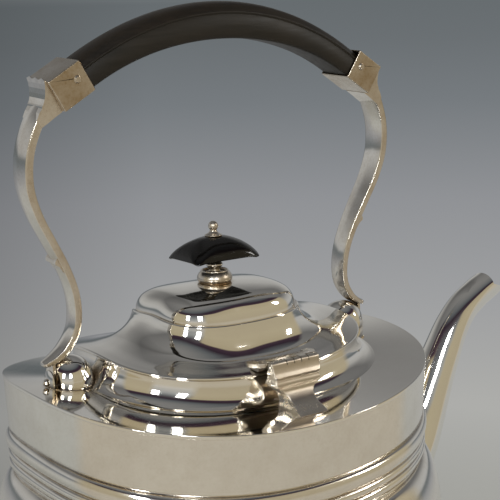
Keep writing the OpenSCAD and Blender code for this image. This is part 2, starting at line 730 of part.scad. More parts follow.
ring_inset = -5.5;
module stand_ring() {
  bead_h = 2;
  color(silver) translate([0, 0, ring_h]) difference() {
    union() {
      cushion_prism(ring_inset + ring_t, ring_deep);
      translate([0, 0, (ring_deep - bead_h) / 2]) cushion_prism(ring_inset + ring_t + 1.3, bead_h);
    }
    translate([0, 0, -1]) cushion_prism(ring_inset, ring_deep + 2);
  }
}

// The legs stand in upright planes through the plan's corners
leg_turn = 40;
leg_top = cushion(leg_turn, body_a + ring_inset + ring_t / 2, body_b + ring_inset + ring_t / 2, body_cushion);
leg_angle = atan2(leg_top[1], leg_top[0]);
foot_h = 8;
cradle_t = 5;
// Centre line of a leg [distance from the axis, height, thickness, width]
leg_waist = foot_out * 0.874;
leg_far = norm(leg_top);
leg_path = [[leg_far, ring_h + ring_deep / 4, 5, 9], [leg_far + foot_out * 0.063, ring_h * 0.87, 6, 9],
  [leg_far + foot_out * 0.073, ring_h * 0.73, 6, 8.4], [leg_far + foot_out * 0.024, ring_h * 0.55, 5.4, 7.4],
  [leg_waist, cradle_h + cradle_t * 0.6, 5, 6.8], [leg_waist - 1, cradle_h * 0.64, 5, 7.4],
  [foot_out * 0.922, cradle_h * 0.31, 5.4, 8.6], [foot_out * 0.99, foot_h - 1, 5, 9]];
leg_side = 8;
function leg_ring(s) =
  let (p = along(leg_path, s), d = heading(leg_path, s))
    [for (i = [0:leg_side - 1]) let (th = 360 * (i + 0.5) / leg_side,
      out = cos(th) * p[2] / 1.85, wide = sin(th) * p[3] / 1.85)
      [p[0] - out * d[1], wide, p[1] + out * d[0]]];

// front is 1 at the spout's end, left is 1 at the far side from the lid's hinge
module at_leg(front, left) {
  mirror([front < 0 ? 1 : 0, 0, 0]) mirror([0, left < 0 ? 1 : 0, 0]) rotate([0, 0, leg_angle]) children();
}

module stand_leg(front, left) {
  last = len(leg_path) - 1;
  color(silver) at_leg(front, left) loft([for (k = [last * 2:-1:0]) leg_ring(k / 2)]);
}

module stand_foot(front, left) {
  color(silver) at_leg(front, left) translate([foot_out, 0, 0]) rotate_extrude($fn = round_fn)
    polygon([[0, 0], [foot_r - 0.8, 0], [foot_r, 0.8], [foot_r, foot_h * 0.3], [foot_r * 0.89, foot_h * 0.42],
      [foot_r * 0.78, foot_h * 0.48], [foot_r * 0.76, foot_h * 0.62], [foot_r * 0.62, foot_h * 0.82],
      [foot_r * 0.4, foot_h * 0.96], [0, foot_h]]);
}

// The cradle's ring carries the burner's flange, its bars run to the legs
cradle_in = bowl_r + 0.4;
cradle_out = cradle_in + 5;
module burner_cradle() {
  bar_end = leg_waist - 1.6;
  color(silver) difference() {
    union() {
      translate([0, 0, cradle_h]) cylinder(r = cradle_out, h = cradle_t, $fn = round_fn);
      for (front = [-1, 1], left = [-1, 1]) at_leg(front, left)
        translate([cradle_out - 1.5, -2.5, cradle_h + 0.5]) cube([bar_end - cradle_out + 1.5, 5, cradle_t - 1]);
    }
    translate([0, 0, cradle_h - 1]) cylinder(r = cradle_in, h = cradle_t + 2, $fn = round_fn);
  }
}

// ---- Lugs, brackets and pins between kettle and stand ----------------------

tilt_z = ring_h + ring_deep / 2;
lug_eye_r = 5;
rest_play = 0.09;
ear_t = 4;

// An outline in the X-Z plane, t thick and centred on y
module upright(y, t) {
  translate([0, y + t / 2, 0]) rotate([90, 0, 0]) linear_extrude(height = t) children();
}

module tilt_bore(y, t, r) {
  translate([tilt_x, y, tilt_z]) rotate([90, 0, 0]) cylinder(r = r, h = t + 2, center = true, $fn = round_fn);
}

// Where the lug's foot follows the belly, set a little into the wall
lug_drops = [90, 93, 97, 101, 104.5];
lug_top = lug_foot(lug_drops[0]);
function lug_foot(drop) = [plan_x(belly_off(drop), lug_y + lug_t / 2) - 0.15, shoulder_h - drop];

// How far out the body's plan reaches at a distance y from the centre line
function plan_turn(off, y, t) = asin(y / ((body_b + off) * (1 + body_cushion * pow(sin(2 * t), 2))));
function plan_x(off, y) = cushion(plan_turn(off, y, plan_turn(off, y, plan_turn(off, y, 0))),
  body_a + off, body_b + off, body_cushion)[0];

// A kettle lug at the spout's end; open lugs rest over their pin
module lug_solid(open) {
  hole_r = tilt_pin_r + (open ? rest_play : pin_play);
  difference() {
    union() {
      upright(lug_y, lug_t) translate([tilt_x, tilt_z]) circle(r = lug_eye_r, $fn = round_fn);
      upright(lug_y, lug_t) polygon(concat(
        [[tilt_x + 2.5, tilt_z + 4.3], [tilt_x - 2.6, tilt_z + 12], [lug_top[0] + 1.2, lug_top[1] + 0.5]],
        [for (d = lug_drops) lug_foot(d)],
        [[lug_foot(lug_drops[4])[0] + 4.2, lug_foot(lug_drops[4])[1] - 1.8], [tilt_x - 3.6, tilt_z - 3.4]]));
    }
    tilt_bore(lug_y, lug_t, hole_r);
    if (open)
      translate([tilt_x - hole_r, lug_y - lug_t, tilt_z - 10]) cube([2 * hole_r, 2 * lug_t, 10]);
  }
}

// end is 1 at the spout's end, left is 1 at the far side from the lid's hinge
module mirrored(end, left) {
  mirror([end < 0 ? 1 : 0, 0, 0]) mirror([0, left < 0 ? 1 : 0, 0]) children();
}

module kettle_lug(end, left) {
  color(silver) mirrored(end, left) lug_solid(end < 0);
}

module stand_bracket(end, left) {
  ear_y = lug_t / 2 + side_gap + ear_t / 2;
  ear = [[tilt_x + 2, tilt_z + 5.1], [tilt_x - 4, tilt_z + 3.8], [tilt_x - 14, tilt_z + 2.5],
    [tilt_x - 14, tilt_z - 9.5], [tilt_x - 5, tilt_z - 9.5], [tilt_x + 4.4, tilt_z - 3.3]];
  color(silver) mirrored(end, left) difference() {
    union() {
      for (s = [-1, 1]) {
        upright(lug_y + s * ear_y, ear_t) translate([tilt_x, tilt_z]) circle(r = lug_eye_r + 0.5, $fn = round_fn);
        upright(lug_y + s * ear_y, ear_t) polygon(ear);
      }
      upright(lug_y, lug_t + 2 * side_gap + ear_t)
        polygon([[tilt_x - 14, tilt_z - 9.5], [tilt_x - 5, tilt_z - 9.5], [tilt_x - 7, tilt_z - 5.5],
          [tilt_x - 14, tilt_z - 5.5]]);
    }
    tilt_bore(lug_y, lug_t + 2 * ear_t + 2, tilt_pin_r + pin_play);
  }
}

module tilt_pin(end, left) {
  shank = lug_t + 2 * (ear_t + side_gap) + 0.8;
  color(silver) mirrored(end, left) translate([tilt_x, lug_y, tilt_z]) rotate([-90, 0, 0]) {
    cylinder(r = tilt_pin_r, h = shank, center = true, $fn = round_fn);
    translate([0, 0, shank / 2]) cylinder(r1 = tilt_pin_r + 1.4, r2 = tilt_pin_r, h = 2, $fn = round_fn);
  }
}

// ---- Burner ----------------------------------------------------------------

flange_z = cradle_h + cradle_t;
bowl_z = flange_z - bowl_deep;
bowl_t = 1.5;
module burner_bowl() {
  color(silver) rotate_extrude($fn = round_fn)
    polygon([[0, bowl_z], [bowl_r * 0.62, bowl_z], [bowl_r * 0.9, bowl_z + bowl_deep * 0.22],
      [bowl_r, bowl_z + bowl_deep * 0.5], [bowl_r, flange_z], [bowl_r + 4, flange_z], [bowl_r + 4, flange_z + 1.8],
      [bowl_r - bowl_t, flange_z + 1.8], [bowl_r - bowl_t, bowl_z + bowl_deep * 0.52],
      [bowl_r * 0.9 - bowl_t, bowl_z + bowl_deep * 0.26], [bowl_r * 0.6, bowl_z + bowl_t], [0, bowl_z + bowl_t]]);
}

cover_z = flange_z + 1.8;
cover_h = 8;
tube_h = 18;
module burner_cover() {
  rim_out = bowl_r - bowl_t - 0.1;
  rim_in = rim_out - 1.5;
  color(silver) rotate_extrude($fn = round_fn)
    polygon([[wick_tube_r, cover_z + cover_h - 1.4], [bowl_r * 0.6, cover_z + cover_h * 0.6],
      [rim_in, cover_z + 0.4], [rim_in, cover_z - 3], [rim_out, cover_z - 3], [rim_out, cover_z],
      [bowl_r + 2.6, cover_z], [bowl_r + 2.6, cover_z + 1.6],
      [bowl_r * 0.64, cover_z + cover_h * 0.6 + 1.6], [wick_tube_r + 3, cover_z + cover_h],
      [wick_tube_r, cover_z + cover_h]]);
}

module wick_tube() {
  tube_t = 1;
  color(silver) rotate_extrude($fn = round_fn)
    polygon([[wick_tube_r - tube_t, cover_z - 8], [wick_tube_r, cover_z - 8], [wick_tube_r, cover_z + tube_h - 1],
      [wick_tube_r - 0.4, cover_z + tube_h], [wick_tube_r - tube_t, cover_z + tube_h]]);
}

module wick() {
  color(cotton) translate([0, 0, bowl_z + bowl_t + 1])
    cylinder(r = wick_tube_r - 1.05, h = cover_z + tube_h + 1 - bowl_z - bowl_t - 1, $fn = round_fn);
}

cap_play = 0.4;
module snuffer_cap() {
  r_in = wick_tube_r + cap_play;
  z0 = cover_z + cover_h + 0.3;
  z1 = cover_z + tube_h + 2;
  color(silver) rotate_extrude($fn = round_fn)
    polygon([[r_in, z0], [r_in + 2, z0], [r_in + 2, z0 + 1], [r_in + 1, z0 + 1.6], [r_in + 1, z1 - 1],
      [r_in - 1, z1 + 1.4], [3, z1 + 2], [1.6, z1 + 2.6], [1.6, z1 + 4], [2.6, z1 + 5], [2.6, z1 + 6.4],
      [1.6, z1 + 7.4], [0, z1 + 7.6], [0, z1], [r_in, z1]]);
}

// ---- Nodes -----------------------------------------------------------------

kettle_shell();
shoulder_plate();
lid_collar();
girdle_moulding();
foot_ring();
spout();
handle_boss(-1);  // handle_boss_left
handle_boss(1);  // handle_boss_right
handle_pin(-1);  // handle_pin_left
handle_pin(1);  // handle_pin_right
hinge_lower_leaf();
lid_hinge_pin();
kettle_lug(1, 1);  // front_lug_left
kettle_lug(1, -1);  // front_lug_right
kettle_lug(-1, 1);  // rear_lug_left
kettle_lug(-1, -1);  // rear_lug_right
lid_dome();
lid_bezel();
hinge_upper_leaf();
finial_stem();
lid_knob();
finial_washer();
finial_nut();
finial_screw();
handle_arm(-1);  // handle_arm_left
handle_arm(1);  // handle_arm_right
grip_socket(-1);  // grip_socket_left
grip_socket(1);  // grip_socket_right
handle_grip();
socket_rivets();
stand_ring();
stand_leg(1, 1);  // leg_front_left
stand_leg(1, -1);  // leg_front_right
stand_leg(-1, 1);  // leg_rear_left
stand_leg(-1, -1);  // leg_rear_right
stand_foot(1, 1);  // foot_front_left
stand_foot(1, -1);  // foot_front_right
stand_foot(-1, 1);  // foot_rear_left
stand_foot(-1, -1);  // foot_rear_right
burner_cradle();
stand_bracket(1, 1);  // front_bracket_left
stand_bracket(1, -1);  // front_bracket_right
stand_bracket(-1, 1);  // rear_bracket_left
stand_bracket(-1, -1);  // rear_bracket_right
tilt_pin(1, 1);  // front_pin_left
tilt_pin(1, -1);  // front_pin_right
tilt_pin(-1, 1);  // rear_pin_left
tilt_pin(-1, -1);  // rear_pin_right
burner_bowl();
burner_cover();
wick_tube();
wick();
snuffer_cap();
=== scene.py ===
import math

import bpy
import numpy as np
from mathutils import Matrix, Vector


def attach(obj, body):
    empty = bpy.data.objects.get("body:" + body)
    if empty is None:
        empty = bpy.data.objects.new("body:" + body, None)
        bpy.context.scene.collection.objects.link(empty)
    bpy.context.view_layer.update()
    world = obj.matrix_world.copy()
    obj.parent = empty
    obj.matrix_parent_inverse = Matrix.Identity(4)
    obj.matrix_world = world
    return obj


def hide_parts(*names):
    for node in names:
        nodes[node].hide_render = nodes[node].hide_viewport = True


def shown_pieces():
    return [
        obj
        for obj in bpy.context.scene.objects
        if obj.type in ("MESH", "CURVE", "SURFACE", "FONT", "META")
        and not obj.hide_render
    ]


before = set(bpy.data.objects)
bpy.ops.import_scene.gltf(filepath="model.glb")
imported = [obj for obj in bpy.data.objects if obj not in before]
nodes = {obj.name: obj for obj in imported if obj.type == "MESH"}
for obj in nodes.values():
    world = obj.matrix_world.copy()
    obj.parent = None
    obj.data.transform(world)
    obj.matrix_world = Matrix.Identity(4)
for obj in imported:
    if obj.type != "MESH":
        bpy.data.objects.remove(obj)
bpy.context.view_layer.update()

MM = 0.001
scene = bpy.context.scene

# ---- Shared sizes in millimetres; heights count from the shoulder's side edge
SHOULDER = 228.0
# Cushioned oval plans: half length, half width and how far the diagonals swell
BODY = (95.0, 81.0, 0.069)
RIM = (64.4, 49.4, 0.117)
DOME = (34.5, 28.3, 0.178)
# How much higher the ends of each plan stand than its sides
RISE, RIM_RISE, DOME_RISE = 12.6, 9.0, 3.35
SHEET, LID_SHEET, SPOUT_SHEET = 1.6, 1.3, 1.5
DRUM, GIRDLE = 25.5, 19.5
GIRDLE_END = DRUM + GIRDLE
RIM_Z, STEP_Z, DOME_H, KNOB_Z = 14.6, 31.2, 13.6, 56.2
PIVOT_Z, LEAN = 13.9, math.radians(3.8)
BOSS_X = 75.0
# Points round an oval
FINE = 240


# ---- Curves and rings ------------------------------------------------------
def between(a, b, share):
    return a + share * (b - a)


def blend(plan_a, plan_b, share):
    """The plan at this share of the way from one plan to another."""
    return tuple(between(a, b, share) for a, b in zip(plan_a, plan_b))


def circle(n):
    """Angles round a full turn."""
    return np.linspace(0, 2 * np.pi, n, endpoint=False)


def oval(plan, off, z, rise=0.0):
    """One ring of a cushioned oval, off outside its plan, at height z."""
    half_x, half_y, swell = plan
    th = circle(FINE)
    swollen = 1 + swell * np.sin(2 * th) ** 2
    return np.stack([(half_x + off) * np.cos(th) * swollen, (half_y + off) * np.sin(th) * swollen,
                     SHOULDER + z + rise * np.cos(th) ** 2], 1)


def cubic(a, b, c, d, t):
    """Catmull-Rom from b to c, with a before and d after them."""
    return 0.5 * (2 * b + (c - a) * t + (2 * a - 5 * b + 4 * c - d) * t * t
                  + (3 * b - a - 3 * c + d) * t ** 3)


def curve(points, per):
    """A smooth curve through the points, per samples to a span, ends included."""
    p = np.array(points, float)
    ext = np.vstack([2 * p[0] - p[1], p, 2 * p[-1] - p[-2]])
    samples = [cubic(*ext[i:i + 4], t) for i in range(len(p) - 1) for t in np.arange(per) / per]
    return np.array(samples + [p[-1]])


def runs(*parts, per):
    """Smooth runs joined at sharp corners: the samples and the corners' places."""
    rows, sharp = [], []
    for part in parts:
        samples = curve(part, per) if len(part) > 2 else np.array(part, float)
        if rows:
            sharp.append(len(rows) - 1)
            samples = samples[1:]
        rows += list(samples)
    return rows, sharp


def along(path, s):
    """The point of a path at s, which counts its points from 0."""
    p = np.array(path, float)
    last = len(p) - 1
    i = min(int(math.floor(s)), last - 1)
    return cubic(p[max(i - 1, 0)], p[i], p[i + 1], p[min(i + 2, last)], s - i)


def heading(path, s):
    """The path's direction at s, in the plane of its first two values."""
    last = len(path) - 1
    d = (along(path, min(s + 0.05, last)) - along(path, max(s - 0.05, 0)))[:2]
    return d / np.linalg.norm(d)


# ---- Objects ---------------------------------------------------------------
def skin(name, rings, wrap=False, caps=False, sharp=(), sharp_cols=()):
    """An object through rings of points; sharp rings and columns keep a hard edge."""
    rings = np.array(rings) * MM
    m, n = rings.shape[:2]
    faces = []
    for j in range(m if wrap else m - 1):
        j2 = (j + 1) % m
        for i in range(n):
            i2 = (i + 1) % n
            faces.append((j * n + i, j * n + i2, j2 * n + i2, j2 * n + i))
    hard = set(sharp)
    if caps:
        faces.append(tuple(range(n - 1, -1, -1)))
        faces.append(tuple((m - 1) * n + i for i in range(n)))
        hard |= {0, m - 1}
    mesh = bpy.data.meshes.new(name)
    mesh.from_pydata(rings.reshape(-1, 3).tolist(), [], faces)
    mesh.update()
    mesh.polygons.foreach_set("use_smooth", [True] * len(mesh.polygons))
    ends = np.zeros(2 * len(mesh.edges), int)
    mesh.edges.foreach_get("vertices", ends)
    row, col = np.divmod(ends.reshape(-1, 2), n)
    flags = (row[:, 0] == row[:, 1]) & np.isin(row[:, 0], list(hard))
    flags |= (col[:, 0] == col[:, 1]) & np.isin(col[:, 0], list(sharp_cols))
    mesh.attributes.new("sharp_edge", "BOOLEAN", "EDGE").data.foreach_set("value", flags)
    obj = bpy.data.objects.new(name, mesh)
    scene.collection.objects.link(obj)
    return obj


def mount(obj, body, slot, *solids):
    """Fixes an object to its body and hides the solids that it is drawn instead of."""
    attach(obj, body)
    if solids:
        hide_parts(*solids)


def weld_into(obj, *others):
    with bpy.context.temp_override(active_object=obj, selected_editable_objects=[obj, *others]):
        bpy.ops.object.join()


# ---- Kettle's shell: distances out from the shoulder's edge, depths under it
BELLY_OUT, BELLY_DROP, DEEP = 7.8, 74.0, 119.0
NECK_IN, DRUM_IN, DRUM_STEP, DRUM_CORNER = 2.2, 1.0, 0.2, 2.0
# The bowl is a quarter of an oval that stops short of its end
BOWL_IN, BOWL_ANGLE = 48.0, 80
BOWL_DEEP = (DEEP - BELLY_DROP) / math.sin(math.radians(BOWL_ANGLE))
FLOOR_IN, FLOOR_EDGE = 45.0, 1.0
SADDLE_END = 90.0
BOWL_ROWS, NECK_ROWS, WALL_ROWS = 28, 23, 10


def body_ring(off, drop):
    """The body's oval at a depth; its saddle fades away under the girdle."""
    fade = min(1, max(0, 1 - (drop - GIRDLE_END) / (SADDLE_END - GIRDLE_END)))
    return oval(BODY, off, -drop, RISE * fade)


def belly_off(drop):
    """How far out the belly stands at a depth."""
    if drop > BELLY_DROP:
        across = math.sqrt(max(0, 1 - ((drop - BELLY_DROP) / BOWL_DEEP) ** 2))
        return BELLY_OUT - BOWL_IN * (1 - across)
    across = math.sqrt(max(0, 1 - ((BELLY_DROP - drop) / (BELLY_DROP - GIRDLE_END)) ** 2))
    return (BELLY_OUT + NECK_IN) * across - NECK_IN


def shell_rings():
    """Rings up the shell's outside and down its inside, and the places of its hard edges."""
    drops = [BELLY_DROP + BOWL_DEEP * math.sin(u) for u in np.radians(np.linspace(BOWL_ANGLE, 0, BOWL_ROWS))]
    drops += [BELLY_DROP - (BELLY_DROP - GIRDLE_END) * math.sin(u)
              for u in np.radians(np.linspace(0, 90, NECK_ROWS + 1)[1:])]
    outer = [(belly_off(d), d) for d in drops]
    outer += [(-NECK_IN, DRUM + DRUM_STEP), (-DRUM_IN, DRUM)]
    outer += [(DRUM_IN * (DRUM - d) / (DRUM - SHEET) - DRUM_IN, d)
              for d in np.linspace(DRUM - DRUM_CORNER, SHEET, WALL_ROWS)]
    base = outer[0][0]
    floor_rows = [(base - FLOOR_IN, DEEP), (base - FLOOR_EDGE, DEEP)]
    inner = [(o - SHEET, min(d, DEEP - SHEET)) for o, d in reversed(outer) if d != DRUM]
    rows = floor_rows + outer + inner + [(base - FLOOR_IN, DEEP - SHEET)]
    neck, top = len(floor_rows) + len(drops) - 1, len(floor_rows) + len(outer) - 1
    return [body_ring(o, d) for o, d in rows], [top, top + 1, neck, neck + 1]


rows, hard = shell_rings()
mount(skin("kettle_wall", rows, caps=True, sharp=hard), "kettle", "silver", "kettle_shell")

# ---- Shoulder --------------------------------------------------------------
# The collar's foot, where the shoulder ends
FOOT = 6.2
SEAT = (RIM[0] + FOOT, RIM[1] + FOOT, RIM[2])
SEAT_Z, SEAT_RISE = 1.0, RISE - 2.8
# How far the crisp edge stands out, and its place as a share of the way in to the seat
EDGE_OUT = 0.25
EDGE = -EDGE_OUT / (BODY[0] - SEAT[0])


def shoulder_ring(share, down):
    """A ring at this share of the way from the body's edge to the seat, down under the top."""
    return oval(blend(BODY, SEAT, share), 0, share * SEAT_Z - down, between(RISE, SEAT_RISE, share))


under_side = [(1, SHEET), (0, SHEET)]
edge_side = [(0, SHEET), (EDGE, SHEET - 0.35), (EDGE, 0.75)]
edge_turn = [(EDGE, 0.75), (EDGE * 1.02, 0.42), (EDGE * 0.7, 0.12), (-EDGE * 0.4, 0), (-EDGE * 2, 0)]
top_side = [(-EDGE * 2, 0), (0.3, 0), (0.6, 0), (0.92, 0), (1.12, 0)]
rows = runs(under_side, edge_side, edge_turn, top_side, per=5)[0]
shoulder = skin("shoulder", [shoulder_ring(share, down) for share, down in rows], wrap=True,
                sharp=[0, 1, len(rows) - 1])
mount(shoulder, "kettle", "silver", "shoulder_plate")

# ---- Collar: distance out from the rim's plan, share of the height ---------
LID_GAP = 0.3
COLLAR_TOP = RIM_Z - LID_SHEET - LID_GAP
COLLAR_IN = -3.2
COLLAR_FOOT = (FOOT + 0.4, 0.004)
COLLAR_WALL = [COLLAR_FOOT, (5.0, 0.03), (3.2, 0.1), (1.2, 0.24), (-0.2, 0.44), (-1.0, 0.7), (-1.2, 0.93),
               (-1.3, 0.99), (-1.8, 1.0)]


def collar_ring(off, share):
    return oval(RIM, off, between(SEAT_Z, COLLAR_TOP, share), between(SEAT_RISE, RIM_RISE, share))


rows, hard = runs([(COLLAR_IN, 1), (COLLAR_IN, 0.1)], [(COLLAR_IN, 0.1), (1.2, 0)], [(1.2, 0), COLLAR_FOOT],
                  COLLAR_WALL, [COLLAR_WALL[-1], (COLLAR_IN, 1)], per=6)
collar = skin("collar", [collar_ring(o, share) for o, share in rows], wrap=True, sharp=hard + [0])
mount(collar, "kettle", "silver", "lid_collar")

# ---- Girdle ----------------------------------------------------------------
# Reeds from the top: start under the drum, height and bulge
REEDS = ((0, 8, 2.3), (8, 4.2, 1.7), (12.2, 4.3, 1.7))
REED_IN, REED_ROWS, REED_TURN = 1.6, 14, 172
GIRDLE_BACK, GIRDLE_DROP = -2.15, 0.3
reeds = [(out * math.sin(t) - REED_IN, start + tall * (1 - math.cos(t)) / 2)
         for start, tall, out in REEDS for t in np.radians(np.linspace(0, REED_TURN, REED_ROWS))]
fillet = [(-REED_IN, 16.5), (-1.5, 17.6), (-1.9, GIRDLE)]
rows = [(GIRDLE_BACK, 0), (GIRDLE_BACK, GIRDLE)] + (reeds + fillet)[::-1]
low_reed = 2 + len(fillet) + REED_ROWS - 1
girdle = skin("girdle", [oval(BODY, o, -(DRUM + d) - GIRDLE_DROP, RISE) for o, d in rows], wrap=True,
              sharp=[0, 1, 2, len(rows) - 1, low_reed, low_reed + REED_ROWS])
mount(girdle, "kettle", "silver", "girdle_moulding")

# ---- Spout -----------------------------------------------------------------
# Centre line: x, height and radius
SPOUT = [(84, -80, 24), (98, -77, 21.5), (111, -70, 19), (121, -59, 16.5), (129, -46, 14), (136, -32, 12.2),
         (143, -18, 10.9), (151, -4, 9.7), (160, 6.2, 8.8), (170.5, 12.7, 8.3), (180.5, 17.2, 8),
         (190, 22.4, 7.6), (198, 27, 7.3)]
SPOUT_FROM, SPOUT_SIDES, SPOUT_ROWS = 0.75, 64, 96
# The keel line rises between these points of the path, by this share of the radius
KEEL_FROM, KEEL_FULL, KEEL_RISE = 6.5, 9.5, 0.44
# A power over 1 draws the section to a ridge
RIDGE_POWER = 1.35
# The mouth is cut behind the hood, along a slope
HOOD_X, MOUTH_Z, MOUTH_FALL = 175.5, 19.0, 15.2 / 49.5


def spout_point(s, th, grow):
    """The point at angle th round the spout's path at s, grow outside the radius."""
    x, z, r = along(SPOUT, s)
    r += grow
    dx, dz = heading(SPOUT, s)
    up = KEEL_RISE * min(1, max(0, (s - KEEL_FROM) / (KEEL_FULL - KEEL_FROM)))
    lobe = abs(math.cos(th)) ** RIDGE_POWER
    across = r * ((1 + up) * lobe - up if math.cos(th) > 0 else -(1 - up) * lobe - up)
    return x + across * dz, r * math.sin(th), SHOULDER + z - across * dx


def spout_end(th, grow):
    """How far along the path this line of the spout runs before the mouth cuts it."""
    before, past = 7.0, 12.0
    for halving in range(30):
        s = (before + past) / 2
        x, y, z = spout_point(s, th, grow)
        if x > HOOD_X and z - SHOULDER > MOUTH_Z - MOUTH_FALL * (x - HOOD_X):
            past = s
        else:
            before = s
    return before


def spout_rows(grow):
    turns = circle(SPOUT_SIDES)
    ends = [spout_end(th, grow) for th in turns]
    return [[spout_point(between(SPOUT_FROM, end, t), th, grow) for th, end in zip(turns, ends)]
            for t in np.linspace(0, 1, SPOUT_ROWS)]


spout = skin("spout_body", spout_rows(0) + spout_rows(-SPOUT_SHEET)[::-1], wrap=True,
             sharp=[0, SPOUT_ROWS - 1, SPOUT_ROWS, 2 * SPOUT_ROWS - 1],
             sharp_cols=[SPOUT_SIDES // 4, 3 * SPOUT_SIDES // 4])
mount(spout, "kettle", "silver", "spout")

# ---- Lid -------------------------------------------------------------------
# The dome by share of its plan and height, then the ledge and cove by share of the way to the rim
DOME_PROFILE = [(0.01, 1.0), (0.2, 0.985), (0.4, 0.937), (0.6, 0.855), (0.76, 0.75), (0.87, 0.585),
                (0.93, 0.39), (0.96, 0.17), (0.965, 0.0)]
COVE_PROFILE = [(-0.012, 1.0), (0.005, 0.975), (0.012, 0.93), (0.025, 0.84), (0.06, 0.66), (0.13, 0.45),
                (0.23, 0.27), (0.36, 0.14), (0.6, 0.05), (0.85, 0.015), (0.985, 0)]
# The rim's rolled edge: distance out and depth
RIM_EDGE = [(0, 0.15), (0.1, 0.45), (0.1, 0.85), (0, 1.1), (-0.3, LID_SHEET)]


def dome_ring(share, high):
    return oval([v * share for v in DOME], 0, STEP_Z + high, DOME_RISE * share * share)


def cove_ring(share, high, off=0.0, down=0.0):
    return oval(blend(DOME, RIM, share), off, between(RIM_Z, STEP_Z, high) - down,
                between(RIM_RISE, DOME_RISE, high))


def lid_rings():
    """Rings over the lid's top, round its rim and back under it, and its hard edges' places."""
    over = [dome_ring(q, DOME_H * h) for q, h in curve(DOME_PROFILE, 7)]
    step = len(over)
    over += [cove_ring(s, h) for s, h in curve(COVE_PROFILE, 7)]
    over += [cove_ring(1, 0, off, down) for off, down in RIM_EDGE]
    under = [cove_ring(s, h, -LID_SHEET / 2, LID_SHEET) for s, h in curve(COVE_PROFILE, 3)[::-1]]
    under += [dome_ring(q * (1 - LID_SHEET / DOME[1]), DOME_H * h - LID_SHEET)
              for q, h in curve(DOME_PROFILE, 3)[::-1]]
    rows = (over + under)[::-1]
    return rows, [len(rows) - step, len(rows) - 1 - step, len(rows) - len(over)]


rows, hard = lid_rings()
mount(skin("lid_top", rows, caps=True, sharp=hard), "lid", "silver", "lid_dome")

# ---- Finial ----------------------------------------------------------------
# The stem by radius and height over the dome
STEM_COLLAR = [(6.9, 0.1), (7.5, 0.4), (7.95, 1.1), (8.05, 1.8), (7.9, 2.6), (7.4, 3.6), (6.7, 4.5),
               (6.25, 4.9)]
STEM_NECK = [(6.25, 4.9), (6.2, 5.3), (5.9, 5.5), (5.5, 5.3), (5.3, 4.7), (4.4, 4.5), (3.1, 4.7), (2.6, 5.3),
             (2.6, 6.3), (3.3, 6.9), (3.75, 7.5), (3.75, 8.2), (3.2, 8.9), (2.9, 9.6), (2.9, 13.0)]
STEM_SIDES = 72


def turned_ring(r, z):
    th = circle(STEM_SIDES)
    return np.stack([r * np.cos(th), r * np.sin(th), np.full(STEM_SIDES, SHOULDER + z)], 1)


rows = runs([(6.9, -1.2), (6.9, 0.1)], STEM_COLLAR, STEM_NECK, per=5)[0]
stem = skin("stem", [turned_ring(r, STEP_Z + DOME_H + h) for r, h in rows], caps=True)
mount(stem, "lid", "silver", "finial_stem")

# The canopy by share of its half sizes, and height; it is square at its edge and rounder to its middle
KNOB_HALF, KNOB_DROOP, KNOB_SIDES = (17.6, 12.6), 0.9, 160
KNOB_SQUARE, KNOB_ROUNDER, KNOB_FADE = 0.2, 0.72, 0.8
KNOB_UNDER = [(0.1, 1.9), (0.34, 1.8), (0.6, 1.3), (0.84, 0.4), (0.97, 0)]
KNOB_TOP = [(0.97, 0), (0.997, 0.35), (1, 0.8), (0.95, 2.6), (0.84, 4.8), (0.66, 7), (0.42, 8.7), (0.2, 9.5),
            (0.05, 9.6)]


def knob_ring(share, z):
    """A ring of the canopy; it starts a hair off its axis, so that no point stays on it."""
    th = circle(KNOB_SIDES) + 1e-4
    c, s = np.cos(th), np.sin(th)
    power = KNOB_SQUARE + KNOB_ROUNDER * max(0.0, 1 - share) ** KNOB_FADE
    return np.stack([share * KNOB_HALF[0] * np.sign(c) * np.abs(c) ** power,
                     share * KNOB_HALF[1] * np.sign(s) * np.abs(s) ** power,
                     SHOULDER + z - KNOB_DROOP * share * share * np.sin(2 * th) ** 2], 1)


rows, hard = runs(KNOB_UNDER, KNOB_TOP, per=7)
knob = skin("knob", [knob_ring(share, KNOB_Z + z) for share, z in rows], caps=True, sharp=hard)
mount(knob, "lid", "ebony", "lid_knob")

# ---- Lid hinge -------------------------------------------------------------
HINGE_Y, HINGE_Z, BARREL, BARREL_R = -(RIM[1] + 8), RIM_Z + 5.2, 24.8, 1.8
# Ends of the five knuckles, as shares of the barrel
KNUCKLES = (-0.5, -0.19, -0.035, 0.115, 0.27, 0.5)
KNUCKLE_GAP, SEAM_HALF, SEAM_PROUD = 0.15, 0.24, 0.06
BARREL_SIDES, BARREL_EDGE = 40, 0.15
# Level slices of the leaf and its cast foot: height under the barrel, half width, front and back
SLICES = [(0.2, 12.4, -1.75, 0.2), (-1.2, 12.4, -2.0, 1.6), (-3.0, 12.3, -2.6, 2.4), (-4.1, 11.9, -3.2, 3.0),
          (-4.8, 11.5, -3.5, 3.4), (-5.5, 11.3, -3.1, 3.8), (-6.4, 11.4, -3.0, 4.2), (-7.4, 11.7, -3.4, 4.6),
          (-8.4, 11.4, -3.6, 5.0), (-9.6, 10.2, -3.4, 5.2), (-11.0, 8.4, -3.6, 5.0), (-12.6, 7.0, -4.6, 4.0),
          (-14.4, 6.4, -6.2, 3.0), (-16.4, 6.4, -8.8, 2.6), (-18.0, 6.8, -12.0, 2.4),
          (-19.4, 7.2, -14.0, 2.2)]
LEAF_ROUND, CORNER_POINTS = 0.7, 6


